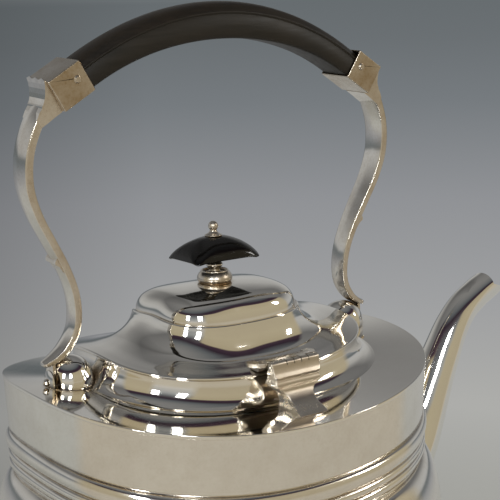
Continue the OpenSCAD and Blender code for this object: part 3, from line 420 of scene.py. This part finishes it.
def barrel_piece(name, x0, x1, r):
    """A length of the hinge's barrel with its edges just broken."""
    th = circle(BARREL_SIDES)
    edge = min(BARREL_EDGE, (x1 - x0) / 4)
    rows = [np.stack([np.full(BARREL_SIDES, x), HINGE_Y + q * np.cos(th),
                      SHOULDER + HINGE_Z + q * np.sin(th)], 1)
            for x, q in ((x0, r - edge), (x0 + edge, r), (x1 - edge, r), (x1, r - edge))]
    return skin(name, rows, caps=True)


def slab_ring(z, half, front, back):
    """A level oblong with rounded corners, counterclockwise from its right back corner."""
    ring = []
    middle = (front + back) / 2
    for x, y, start in ((half, back, 0), (-half, back, 90), (-half, front, 180), (half, front, 270)):
        for t in np.radians(np.linspace(start, start + 90, CORNER_POINTS)):
            ring.append((x - math.copysign(LEAF_ROUND, x) + LEAF_ROUND * math.cos(t),
                         HINGE_Y + y - math.copysign(LEAF_ROUND, y - middle) + LEAF_ROUND * math.sin(t),
                         SHOULDER + HINGE_Z + z))
    return ring


leaf = skin("hinge_leaf", [slab_ring(*row) for row in curve(SLICES, 5)][::-1], caps=True)
mount(leaf, "kettle", "silver", "hinge_lower_leaf")
leaf.modifiers.new("normals", "WEIGHTED_NORMAL")
# The kettle's three knuckles, with room for the lid's two, and the dark seams between them
for k in (0, 2, 4):
    x0, x1 = KNUCKLES[k] * BARREL + KNUCKLE_GAP, KNUCKLES[k + 1] * BARREL - KNUCKLE_GAP
    weld_into(leaf, barrel_piece("knuckle_%d" % k, x0, x1, BARREL_R))
for k in (1, 2, 3, 4):
    x = KNUCKLES[k] * BARREL
    seam = barrel_piece("hinge_seam_%d" % k, x - SEAM_HALF, x + SEAM_HALF, BARREL_R + SEAM_PROUD)
    mount(seam, "kettle", "silver")


# ---- Handle ----------------------------------------------------------------
# Centre line of an arm: x from the boss's centre, height over the pins, thickness, width
ARM = [(9, 114.5, 5, 12), (13, 108, 5.5, 12.6), (16.4, 99, 5.4, 12.4), (17.6, 90, 5.4, 12.2),
       (16.8, 81, 5.4, 11.8), (13.4, 71, 5.3, 11.4), (8, 60.5, 5.2, 10.8), (2.6, 50, 5, 10.2),
       (-1.6, 39, 4.8, 9.6), (-3, 29, 4.6, 9.2), (-1.8, 20.5, 4.6, 8.8), (2.4, 13.6, 4.8, 8.4),
       (7.8, 9.7, 3.8, 6.8), (12.4, 7.9, 2.4, 4.6)]
ARM_ROWS, TIP_SPAN, TIP_LEAST = 160, 0.35, 0.2
# Half of each section, in shares of its thickness and width; the other half mirrors it
ARM_SECTION = [(-0.46, 0), (-0.45, -0.08), (-0.39, -0.3), (-0.31, -0.46), (-0.295, -0.49), (-0.26, -0.5),
               (0.26, -0.5), (0.295, -0.49), (0.32, -0.46), (0.41, -0.3), (0.49, -0.08), (0.5, 0)]
ARM_SECTION += [(x, -y) for x, y in ARM_SECTION[-2:0:-1]]
GRIP_SECTION = [(-0.5, -0.4), (-0.485, -0.46), (-0.44, -0.495), (-0.36, -0.5), (0.13, -0.5), (0.15, -0.484),
                (0.17, -0.482), (0.185, -0.496), (0.205, -0.508), (0.225, -0.51), (0.245, -0.5),
                (0.26, -0.478), (0.28, -0.46), (0.36, -0.425), (0.43, -0.36), (0.47, -0.26), (0.49, -0.14),
                (0.5, 0)]
GRIP_SECTION += [(x, -y) for x, y in GRIP_SECTION[-2::-1]]
# Side outlines of the arm's head, of the curl on its inside and of the tongue in the boss's slot
HEAD_SIDE = [(9.2, 108.6), (6.6, 110.4), (3.1, 112.6), (10.3, 124.7), (10.9, 125.5), (11.2, 125.4),
             (10.85, 123.6), (10.6, 121.6), (10.55, 119.6), (10.7, 117.8), (11.0, 116.5), (11.4, 115.5),
             (11.75, 115.0), (11.75, 114.3), (12.9, 112.6), (14.1, 109.8), (12, 106.8)]
# The head's top edge, over this height, waves a little across its width
HEAD_STEPS, HEAD_WAVE, WAVE_FROM = 24, 0.35, 125
CURL = [(4, 54.4), (6.3, 53.5), (6.9, 52.6), (7.15, 51.8), (7.0, 51.1), (6.6, 50.8), (5.2, 49.8), (3.8, 47.8),
        (2.2, 46)]
CURL_HALF = 4.5
TONGUE_R, TONGUE_X, TONGUE_HALF = 1.75, BOSS_X + 8.2, 0.65
TONGUE = [(0, TONGUE_R), (-4.6, 3.2), (-9.6, 2.8), (-9.6, -2.8), (-4.6, -3.2), (0, -TONGUE_R)]
TONGUE += [(TONGUE_R * math.cos(t), TONGUE_R * math.sin(t)) for t in np.radians(range(-75, 90, 15))]


def leant(rows):
    """Leans points drawn upright about the handle's pins."""
    rows = np.array(rows, float)
    y, z = rows[..., 1].copy(), rows[..., 2].copy()
    rows[..., 1] = y * math.cos(LEAN) - z * math.sin(LEAN)
    rows[..., 2] = SHOULDER + PIVOT_Z + y * math.sin(LEAN) + z * math.cos(LEAN)
    return rows


def arm_rows(side):
    """Sections down an arm, which narrows to a round tip."""
    rows = []
    last = len(ARM) - 1
    for s in np.linspace(0, last, ARM_ROWS):
        x, z, thick, wide = along(ARM, s)
        dx, dz = heading(ARM, s)
        into_tip = max(0, (s - last + TIP_SPAN) / TIP_SPAN)
        end = math.sqrt(max(TIP_LEAST ** 2, 1 - into_tip ** 2))
        rows.append([(side * (BOSS_X + x - q0 * thick * end * dz), q1 * wide * end, z + q0 * thick * end * dx)
                     for q0, q1 in ARM_SECTION])
    return leant(rows if side < 0 else rows[::-1])


def head_half(h):
    """Half the width of an arm's head at height h over the pins."""
    return float(np.interp(h, [106, 117, 127], [6.3, 6.7, 8.2]))


def slab(name, side, outline, half, steps, wave=0.0):
    """A plate with this outline in an arm's upright plane, half(h) wide to both sides."""
    rows = []
    for t in np.linspace(-1, 1, steps + 1):
        lift = wave * math.cos(3 * math.pi * t)
        rows.append([(side * (BOSS_X + x), t * half(h), h + (lift if h > WAVE_FROM else 0))
                     for x, h in outline])
    rows = rows if side > 0 else rows[::-1]
    return skin(name, leant(rows), caps=True, sharp_cols=range(len(outline)))


def tongue_plate(side):
    """The flat tongue that hangs in the boss's slot."""
    rows = [[(side * (TONGUE_X + w), v, -u) for u, v in TONGUE] for w in (-TONGUE_HALF, TONGUE_HALF)]
    return skin("tongue", leant(rows if side < 0 else rows[::-1]), caps=True, sharp_cols=range(len(TONGUE)))


for side, tag in ((-1, "left"), (1, "right")):
    arm = skin("arm_" + tag, arm_rows(side), caps=True)
    mount(arm, "handle", "silver", "handle_arm_" + tag)
    head = slab("head", side, HEAD_SIDE, head_half, HEAD_STEPS, HEAD_WAVE)
    weld_into(arm, head, slab("curl", side, CURL, lambda h: CURL_HALF, 2), tongue_plate(side))

# The grip runs from socket to socket on one arc, and is deepest at its middle
SOCKET_X, SOCKET_Z, GRIP_R = BOSS_X + 0.1, 122.7, 125.5
SOCKET_TURN = math.asin(SOCKET_X / GRIP_R)
GRIP_TURN = SOCKET_TURN + math.radians(0.4)
GRIP_C = SOCKET_Z - 0.7 - GRIP_R * math.cos(SOCKET_TURN)
GRIP_END, GRIP_SWELL, GRIP_WIDE, GRIP_ROWS = 12.2, 3.2, 17.4, 120
rows = []
for turn in np.linspace(GRIP_TURN, -GRIP_TURN, GRIP_ROWS):
    deep = GRIP_END + GRIP_SWELL * math.cos(turn / GRIP_TURN * math.pi / 2) ** 2
    rows.append([((GRIP_R + q0 * deep) * math.sin(turn), q1 * GRIP_WIDE,
                  GRIP_C + (GRIP_R + q0 * deep) * math.cos(turn)) for q0, q1 in GRIP_SECTION])
mount(skin("grip", leant(rows), caps=True), "handle", "ebony_grip", "handle_grip")

# ---- Stand, by heights over the table --------------------------------------
RING_H, RING_TALL, RING_IN, RING_OUT = 113.0, 6, -5.5, 0.5
BEAD = [(RING_OUT, 2), (1.4, 2.25), (1.8, 3), (1.4, 3.75), (RING_OUT, 4)]
rows, hard = runs([(RING_IN, RING_TALL), (RING_IN, 0)], [(RING_IN, 0), (RING_OUT, 0)],
                  [(RING_OUT, 0), (RING_OUT, 2)], BEAD, [(RING_OUT, 4), (RING_OUT, RING_TALL)], per=5)
ring = skin("ring_band", [oval(BODY, o, RING_H - SHOULDER + h) for o, h in rows], wrap=True,
            sharp=hard + [0, len(rows) - 1])
mount(ring, "stand", "silver", "stand_ring")

# A leg starts under the ring's diagonal and stands in an upright plane through the axis
LEG_WAY, LEG_IN = math.radians(40), 2.5
leg_swell = 1 + BODY[2] * math.sin(2 * LEG_WAY) ** 2
leg_x = (BODY[0] - LEG_IN) * math.cos(LEG_WAY) * leg_swell
leg_y = (BODY[1] - LEG_IN) * math.sin(LEG_WAY) * leg_swell
LEG_ANGLE, LEG_FAR = math.atan2(leg_y, leg_x), math.hypot(leg_x, leg_y)
FOOT_OUT, CRADLE_H = 103, 42
WAIST = FOOT_OUT * 0.874
# Centre line of a leg: distance from the axis, height, thickness, width
LEG = [(LEG_FAR, RING_H + 1.5, 5, 9), (LEG_FAR + FOOT_OUT * 0.063, RING_H * 0.87, 6, 9),
       (LEG_FAR + FOOT_OUT * 0.073, RING_H * 0.73, 6, 8.4),
       (LEG_FAR + FOOT_OUT * 0.024, RING_H * 0.55, 5.4, 7.4),
       (WAIST, CRADLE_H + 3, 5, 6.8), (WAIST - 1, CRADLE_H * 0.64, 5, 7.4),
       (FOOT_OUT * 0.922, CRADLE_H * 0.31, 5.4, 8.6), (FOOT_OUT * 0.99, 7, 5, 9)]
LEG_ROWS, LEG_SIDES = 90, 24


def leg_rows(front, left):
    """Oval sections down the leg of one corner."""
    rows = []
    th = circle(LEG_SIDES)
    for s in np.linspace(0, len(LEG) - 1, LEG_ROWS):
        far, z, thick, wide = along(LEG, s)
        dx, dz = heading(LEG, s)
        out, across = far - np.cos(th) * thick / 2 * dz, np.sin(th) * wide / 2
        rows.append(np.stack([front * (out * math.cos(LEG_ANGLE) - across * math.sin(LEG_ANGLE)),
                              left * (out * math.sin(LEG_ANGLE) + across * math.cos(LEG_ANGLE)),
                              z + np.cos(th) * thick / 2 * dx], 1))
    return rows[::-1] if front * left > 0 else rows


for front, front_tag in ((1, "front"), (-1, "rear")):
    for left, left_tag in ((1, "left"), (-1, "right")):
        name = "leg_%s_%s" % (front_tag, left_tag)
        mount(skin(name, leg_rows(front, left), caps=True), "stand", "silver", name)


# ---- Materials -------------------------------------------------------------
class Net:
    """Short hand for building a node tree."""

    def __init__(self, owner, shader="ShaderNodeBsdfPrincipled", out="ShaderNodeOutputMaterial"):
        self.owner = owner
        owner.use_nodes = True
        self.tree = owner.node_tree
        self.tree.nodes.clear()
        self.out = self.tree.nodes.new(out)
        self.shader = self.tree.nodes.new(shader)
        self.link(self.shader.outputs[0], self.out.inputs[0])

    def link(self, a, b):
        self.tree.links.new(a, b)

    def feed(self, value, socket):
        """Links a socket, or sets a plain value."""
        if isinstance(value, bpy.types.NodeSocket):
            self.link(value, socket)
        else:
            socket.default_value = value

    def add(self, kind, values=None, **props):
        node = self.tree.nodes.new(kind)
        for key, value in props.items():
            setattr(node, key, value)
        for key, value in (values or {}).items():
            self.feed(value, node.inputs[key])
        return node

    def place(self):
        """Object coordinates."""
        return self.add("ShaderNodeTexCoord").outputs["Object"]

    def noise(self, scale, detail, rough=0.5, vector=None):
        values = {"Scale": scale, "Detail": detail, "Roughness": rough, "Vector": vector or self.place()}
        return self.add("ShaderNodeTexNoise", values).outputs["Fac"]

    def ramp(self, fac, *stops):
        """Stops are a place and a colour or a grey level."""
        node = self.add("ShaderNodeValToRGB", {"Fac": fac})
        points = node.color_ramp.elements
        while len(points) < len(stops):
            points.new(1)
        for point, (at, colour) in zip(points, stops):
            point.position = at
            point.color = (*colour, 1) if isinstance(colour, tuple) else (colour, colour, colour, 1)
        return node.outputs["Color"]

    def mix(self, fac, a, b, blend_type="MIX"):
        node = self.add("ShaderNodeMix", data_type="RGBA", blend_type=blend_type)
        for i, value in ((0, fac), (6, a), (7, b)):
            self.feed((*value, 1) if isinstance(value, tuple) else value, node.inputs[i])
        return node.outputs[2]

    def math(self, op, a, b=0.0):
        return self.add("ShaderNodeMath", {0: a, 1: b}, operation=op).outputs[0]

    def vector(self, op, a, b=(0, 0, 0)):
        node = self.add("ShaderNodeVectorMath", {0: a, 1: b}, operation=op)
        return node.outputs["Value" if op in ("DOT_PRODUCT", "LENGTH") else "Vector"]

    def bump(self, strength, distance, height):
        node = self.add("ShaderNodeBump", {"Strength": strength, "Distance": distance, "Height": height})
        self.link(node.outputs[0], self.shader.inputs["Normal"])


# The tarnish brown, also used for painted shade on faces that point front or back
TARNISH_AND_SHADE_BROWN = (0.30, 0.19, 0.07)


def silver(name, tarnish, smooth, film=0.0, side_shade=0.0, wave=0.02, brown=TARNISH_AND_SHADE_BROWN):
    """Polished sterling: warm, faintly uneven, tarnished brown in its corners, and browned and darkened as
    painted shade on faces that point front or back.
    """
    m = Net(bpy.data.materials.new(name))
    ao = m.add("ShaderNodeAmbientOcclusion", {"Distance": 0.003}, samples=6).outputs["AO"]
    corner = m.ramp(ao, (0.25, 1.0), (0.85, 0.0))
    blotch = m.ramp(m.noise(90, 4, 0.6), (0.40, 0.0), (0.72, 1.0))
    fine = m.ramp(m.noise(900, 2, 0.6), (0.45, 0.0), (0.7, 1.0))
    dirt = m.math("MULTIPLY", corner, m.math("ADD", m.math("MULTIPLY", blotch, 0.5), 0.45))
    specks = m.math("ADD", m.math("MULTIPLY", blotch, 0.6), m.math("MULTIPLY", fine, 0.25))
    normal = m.add("ShaderNodeNewGeometry").outputs["Normal"]
    # Painted shade: faces that point front or back are browned and darkened by the way they face.
    side_shade_mask = m.ramp(m.math("ABSOLUTE", m.vector("DOT_PRODUCT", normal, (0, 1, 0))), (0.5, 0.0), (0.95, 1.0))
    film_and_side_shade = m.math("ADD", m.math("MULTIPLY", side_shade_mask, side_shade), film)
    specks_and_side_shade = m.math("ADD", m.math("MULTIPLY", specks, tarnish), film_and_side_shade)
    tarnish_and_side_shade = m.math("MINIMUM", m.math("ADD", m.math("MULTIPLY", dirt, 0.7), specks_and_side_shade), 0.92)
    base = m.mix(m.noise(12, 2), (0.915, 0.885, 0.825), (0.94, 0.915, 0.865))
    m.link(m.mix(tarnish_and_side_shade, base, brown), m.shader.inputs["Base Color"])
    m.shader.inputs["Metallic"].default_value = 1.0
    scuff = m.math("MULTIPLY", m.ramp(m.noise(260, 5, 0.7), (0.4, 0.0), (0.8, 1.0)), 0.05)
    rough = m.math("ADD", m.math("ADD", scuff, smooth), m.math("MULTIPLY", tarnish_and_side_shade, 0.28))
    m.link(rough, m.shader.inputs["Roughness"])
    m.bump(1.0, wave * MM, m.noise(38, 2, 0.4))
    return m.owner


def wood(name, dark, light, rough, grain):
    """Ebony: near black, with fine streaks along the piece."""
    m = Net(bpy.data.materials.new(name))
    stretched = m.add("ShaderNodeMapping", {"Vector": m.place(), "Scale": (60, 520, 520)}).outputs[0]
    streak = m.ramp(m.noise(1.0, 6, 0.65, stretched), (0.35, 0.0), (0.75, 1.0))
    cloud = m.ramp(m.noise(55, 3), (0.35, 0.0), (0.7, 1.0))
    figure = m.math("ADD", m.math("MULTIPLY", streak, 0.6), m.math("MULTIPLY", cloud, 0.5))
    m.link(m.mix(m.math("MULTIPLY", figure, grain), dark, light), m.shader.inputs["Base Color"])
    m.link(m.math("ADD", m.math("MULTIPLY", streak, 0.12), rough), m.shader.inputs["Roughness"])
    m.bump(0.6, 0.00006, streak)
    m.shader.inputs["IOR"].default_value = 1.45
    return m.owner


def cotton(name):
    """Plaited wick: off white, burnt brown at its top."""
    m = Net(bpy.data.materials.new(name))
    weave = m.add("ShaderNodeTexWave", {"Vector": m.place(), "Scale": 420, "Distortion": 3.0, "Detail": 2.0},
                  bands_direction="DIAGONAL").outputs["Fac"]
    height = m.add("ShaderNodeSeparateXYZ", {0: m.place()}).outputs[2]
    char = m.ramp(m.math("MULTIPLY", m.math("SUBTRACT", height, 0.060), 125), (0.2, 0.0), (0.95, 1.0))
    body = m.mix(weave, (0.62, 0.58, 0.48), (0.86, 0.84, 0.76))
    m.link(m.mix(char, body, (0.05, 0.035, 0.025)), m.shader.inputs["Base Color"])
    m.shader.inputs["Roughness"].default_value = 0.95
    m.bump(0.8, 0.0003, weave)
    return m.owner


MIRROR = silver("silver_polished", 0.05, 0.045)
BODYWORK = silver("silver_body", 0.16, 0.10, 0.03)
# Arms, sockets and fittings get painted shade, browner and darker on faces that point front or back
WORN_SIDE_SHADED = silver("silver_worn_side_shaded", 0.34, 0.09, 0.04, 0.34)
SOCKET = silver("silver_socket", 0.4, 0.09, 0.28, 0.3)
SEAM = silver("silver_seam", 0.2, 0.4, 0.9, brown=(0.05, 0.035, 0.02))
FITTING = silver("silver_fitting", 0.12, 0.17, 0.3, 0.25)
EBONY = wood("ebony_polished", (0.0015, 0.0015, 0.0015), (0.006, 0.005, 0.004), 0.05, 0.6)
GRIPWOOD = wood("ebony_grip", (0.003, 0.0021, 0.001), (0.012, 0.0075, 0.0032), 0.4, 1.0)
WICK = cotton("cotton_wick")
# Pieces of each material; all others are of the body's silver
LOOKS = (
    (MIRROR, ("shoulder", "collar", "spout_body", "lid_top", "handle_boss_left", "handle_boss_right")),
    (WORN_SIDE_SHADED, ("arm_left", "arm_right")),
    (SOCKET, ("grip_socket_left", "grip_socket_right")),
    (SEAM, ("hinge_seam_1", "hinge_seam_2", "hinge_seam_3", "hinge_seam_4")),
    (FITTING, ("hinge_leaf", "hinge_upper_leaf", "stem", "socket_rivets", "finial_washer", "finial_nut")),
    (EBONY, ("knob",)),
    (GRIPWOOD, ("grip",)),
    (WICK, ("wick",)),
)
look_of = {name: look for look, names in LOOKS for name in names}
# Widths of the broken edges of solids, in millimetres
EDGE_WIDTH, SOCKET_WIDTH = 0.15, 0.55


def soften(obj, width):
    """Rounds a solid's hard edges a little and shades it smooth between them."""
    weld = obj.modifiers.new("weld", "WELD")
    weld.merge_threshold = 0.00001
    bevel = obj.modifiers.new("bevel", "BEVEL")
    bevel.width, bevel.segments = width * MM, 3
    bevel.limit_method, bevel.angle_limit = "ANGLE", math.radians(35)
    bevel.harden_normals = False
    obj.modifiers.new("normals", "WEIGHTED_NORMAL")


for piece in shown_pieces():
    look = look_of.get(piece.name, BODYWORK)
    if piece.name in nodes:
        for slot in piece.material_slots:
            slot.material = look
        if not piece.material_slots:
            piece.data.materials.append(look)
        soften(piece, SOCKET_WIDTH if look == SOCKET else EDGE_WIDTH)
    else:
        piece.data.materials.clear()
        piece.data.materials.append(look)

# ---- Camera ----------------------------------------------------------------
# Place in millimetres, turns in degrees; focal length and centre in pixels of the square picture
CAMERA_AT = (-274.55, -412.99, SHOULDER + 151.06)
YAW, PITCH, ROLL = math.radians(35.08), math.radians(11.07), math.radians(-1.49)
PICTURE, FOCAL, CENTRE_X, CENTRE_Y = 500, 1118.37, 242.26, 260.16
SENSOR = 36
ahead = Vector((math.sin(YAW) * math.cos(PITCH), math.cos(YAW) * math.cos(PITCH), -math.sin(PITCH)))
side = ahead.cross(Vector((0, 0, 1))).normalized()
up = side.cross(ahead)
right = math.cos(ROLL) * side + math.sin(ROLL) * up
top = -math.sin(ROLL) * side + math.cos(ROLL) * up
lens = bpy.data.cameras.new("camera")
lens.sensor_width = SENSOR
lens.lens = FOCAL / PICTURE * SENSOR
lens.shift_x, lens.shift_y = (PICTURE / 2 - CENTRE_X) / PICTURE, (CENTRE_Y - PICTURE / 2) / PICTURE
lens.clip_start, lens.clip_end = 0.01, 50
camera = bpy.data.objects.new("camera", lens)
scene.collection.objects.link(camera)
turn = Matrix((right, top, -ahead)).transposed()
camera.matrix_world = Matrix.Translation(Vector(CAMERA_AT) * MM) @ turn.to_4x4()
scene.camera = camera

# ---- Floor, backdrop and light ---------------------------------------------
# Colours by how steeply the line of sight rises, under 0 for the floor: the backdrop ahead of the camera,
# the warm room round the rest, and in the room's middle a grey bay
BACKDROP = ((-0.45, (0.434, 0.440, 0.418)), (-0.33, (0.418, 0.418, 0.402)), (-0.233, (0.342, 0.347, 0.354)),
            (-0.141, (0.279, 0.287, 0.303)), (-0.054, (0.181, 0.198, 0.212)), (0.0, (0.146, 0.162, 0.172)),
            (0.035, (0.134, 0.151, 0.160)), (0.09, (0.41, 0.415, 0.42)), (0.2, (0.43, 0.43, 0.425)),
            (0.35, (0.37, 0.37, 0.365)), (0.46, (0.26, 0.26, 0.258)), (0.6, (0.14, 0.14, 0.142)),
            (1.0, (0.20, 0.20, 0.20)))
CEILING = ((0.74, (0.03, 0.02, 0.03)), (0.84, (0.10, 0.11, 0.12)), (1.0, (0.20, 0.20, 0.20)))
ROOM = ((-0.45, (0.47, 0.435, 0.37)), (-0.2, (0.46, 0.415, 0.33)), (-0.05, (0.40, 0.35, 0.25)),
        (0.3, (0.42, 0.37, 0.26)), (0.60, (0.38, 0.33, 0.225)), (0.63, (0.05, 0.03, 0.045)), *CEILING)
BAY = ((-0.45, (0.47, 0.435, 0.37)), (-0.15, (0.50, 0.46, 0.38)), (0.05, (0.52, 0.50, 0.46)),
       (0.3, (0.34, 0.35, 0.35)), (0.5, (0.15, 0.16, 0.17)), (0.63, (0.07, 0.06, 0.07)), *CEILING)
LOWEST, HIGHEST = -0.5, 1.0
# In metres: the viewer's place on the floor, and how high the viewer and the silver are over it
VIEWER = (-0.27, -0.41, 0.0)
VIEWER_HIGH, SILVER_HIGH = 0.379, 0.25
AHEAD, ACROSS = (math.sin(YAW), math.cos(YAW), 0), (math.cos(YAW), -math.sin(YAW), 0)
BACKDROP_YAW = math.radians(17.5)
BACKDROP_WAY = (math.sin(BACKDROP_YAW), math.cos(BACKDROP_YAW), 0)
FLOOR_R = 12.0
# Distances between which the floor starts to glow by itself, in metres
GLOW_FROM, GLOW_FULL = 0.33, 0.66


def by_height(net, height, table):
    """A table's colour where the line of sight rises by this much."""
    span = HIGHEST - LOWEST
    share = net.math("DIVIDE", net.math("SUBTRACT", height, LOWEST), span)
    return net.ramp(share, *[((h - LOWEST) / span, colour) for h, colour in table])


def scenery(net, seen_way, way, back_height, room_height):
    """Colour in a direction: backdrop ahead, darkened towards its left by painted light falloff, behind it a
    room with a bay.
    """
    aside = net.vector("DOT_PRODUCT", seen_way, ACROSS)
    slant = net.math("DIVIDE", aside, net.math("MAXIMUM", net.vector("DOT_PRODUCT", seen_way, AHEAD), 0.05))
    # Painted light falloff: the backdrop darkens towards its left.
    left_falloff_shade = net.ramp(net.math("ADD", slant, 1.0), (0.0, 1.0), (0.55, 0.8), (0.75, 0.67), (0.92, 1.0))
    back = net.mix(1.0, by_height(net, back_height, BACKDROP), left_falloff_shade, "MULTIPLY")
    behind = net.math("MULTIPLY", net.vector("DOT_PRODUCT", way, AHEAD), -1.0)
    in_bay = net.ramp(behind, (0.86, 0.0), (0.93, 1.0))
    room = net.mix(in_bay, by_height(net, room_height, ROOM), by_height(net, room_height, BAY))
    facing = net.math("ADD", net.vector("DOT_PRODUCT", way, BACKDROP_WAY), 0.5)
    return net.mix(net.ramp(facing, (0.44, 0.0), (0.60, 1.0)), room, back)


def floor_look():
    """Pale paper that keeps the object's shadow, darkened towards the left by painted light falloff, and
    glows in the same colours far off.
    """
    f = Net(bpy.data.materials.new("floor_paper"))
    spot = f.add("ShaderNodeNewGeometry").outputs["Position"]
    far = f.vector("LENGTH", spot)
    from_viewer = f.vector("SUBTRACT", spot, VIEWER)
    seen_drop = f.math("DIVIDE", -VIEWER_HIGH, f.vector("LENGTH", from_viewer))
    shade = scenery(f, f.vector("NORMALIZE", from_viewer), f.vector("NORMALIZE", spot), seen_drop,
                    f.math("DIVIDE", -SILVER_HIGH, far))
    f.link(shade, f.shader.inputs["Base Color"])
    f.shader.inputs["Roughness"].default_value = 0.9
    ray = f.add("ShaderNodeLightPath").outputs
    seen = f.math("MAXIMUM", ray["Is Camera Ray"], ray["Is Glossy Ray"])
    seen = f.math("MAXIMUM", seen, ray["Is Transmission Ray"])
    glow = f.add("ShaderNodeEmission", {"Color": shade, "Strength": 1.0})
    away = f.ramp(f.math("DIVIDE", far, FLOOR_R), (GLOW_FROM / FLOOR_R, 0.0), (GLOW_FULL / FLOOR_R, 1.0))
    both = f.add("ShaderNodeMixShader", {0: f.math("MULTIPLY", seen, away), 1: f.shader.outputs[0],
                                         2: glow.outputs[0]})
    f.link(both.outputs[0], f.out.inputs[0])
    return f.owner


def world_look():
    w = Net(bpy.data.worlds.new("studio"), "ShaderNodeBackground", "ShaderNodeOutputWorld")
    way = w.add("ShaderNodeTexCoord").outputs["Generated"]
    height = w.add("ShaderNodeSeparateXYZ", {0: way}).outputs[2]
    level = w.vector("NORMALIZE", w.vector("MULTIPLY", way, (1, 1, 0)))
    w.link(scenery(w, level, level, height, height), w.shader.inputs[0])
    return w.owner


def lamp(name, place, aim_high, size, watts, colour=(1, 0.98, 0.95)):
    """An oblong lamp that points at the object's axis."""
    data = bpy.data.lights.new(name, "AREA")
    data.shape, data.size, data.size_y = "RECTANGLE", size[0], size[1]
    data.energy, data.color = watts, colour
    obj = bpy.data.objects.new(name, data)
    scene.collection.objects.link(obj)
    obj.location = place
    obj.rotation_euler = (Vector((0, 0, aim_high)) - Vector(place)).to_track_quat("-Z", "Y").to_euler()
    return obj


bpy.ops.mesh.primitive_circle_add(vertices=128, radius=FLOOR_R, fill_type="NGON", location=(0, 0, 0))
floor = bpy.context.object
floor.name = "floor"
floor.data.materials.append(floor_look())
scene.world = world_look()

DAYLIGHT = (0.95, 0.98, 1)
lamp("window_left", (-1.19, -0.83, 0.9), 0.25, (0.24, 0.5), 6.5, DAYLIGHT)
lamp("window_near", (-0.50, -1.36, 0.9), 0.25, (0.24, 0.5), 6.5, DAYLIGHT)
lamp("window_right", (1.2, -1.0, 1.0), 0.25, (0.16, 0.3), 3)
overhead = lamp("overhead", (0.1, 0.2, 1.9), 0.2, (1.1, 0.9), 19)
overhead.visible_glossy = False

scene.view_settings.view_transform = "Standard"
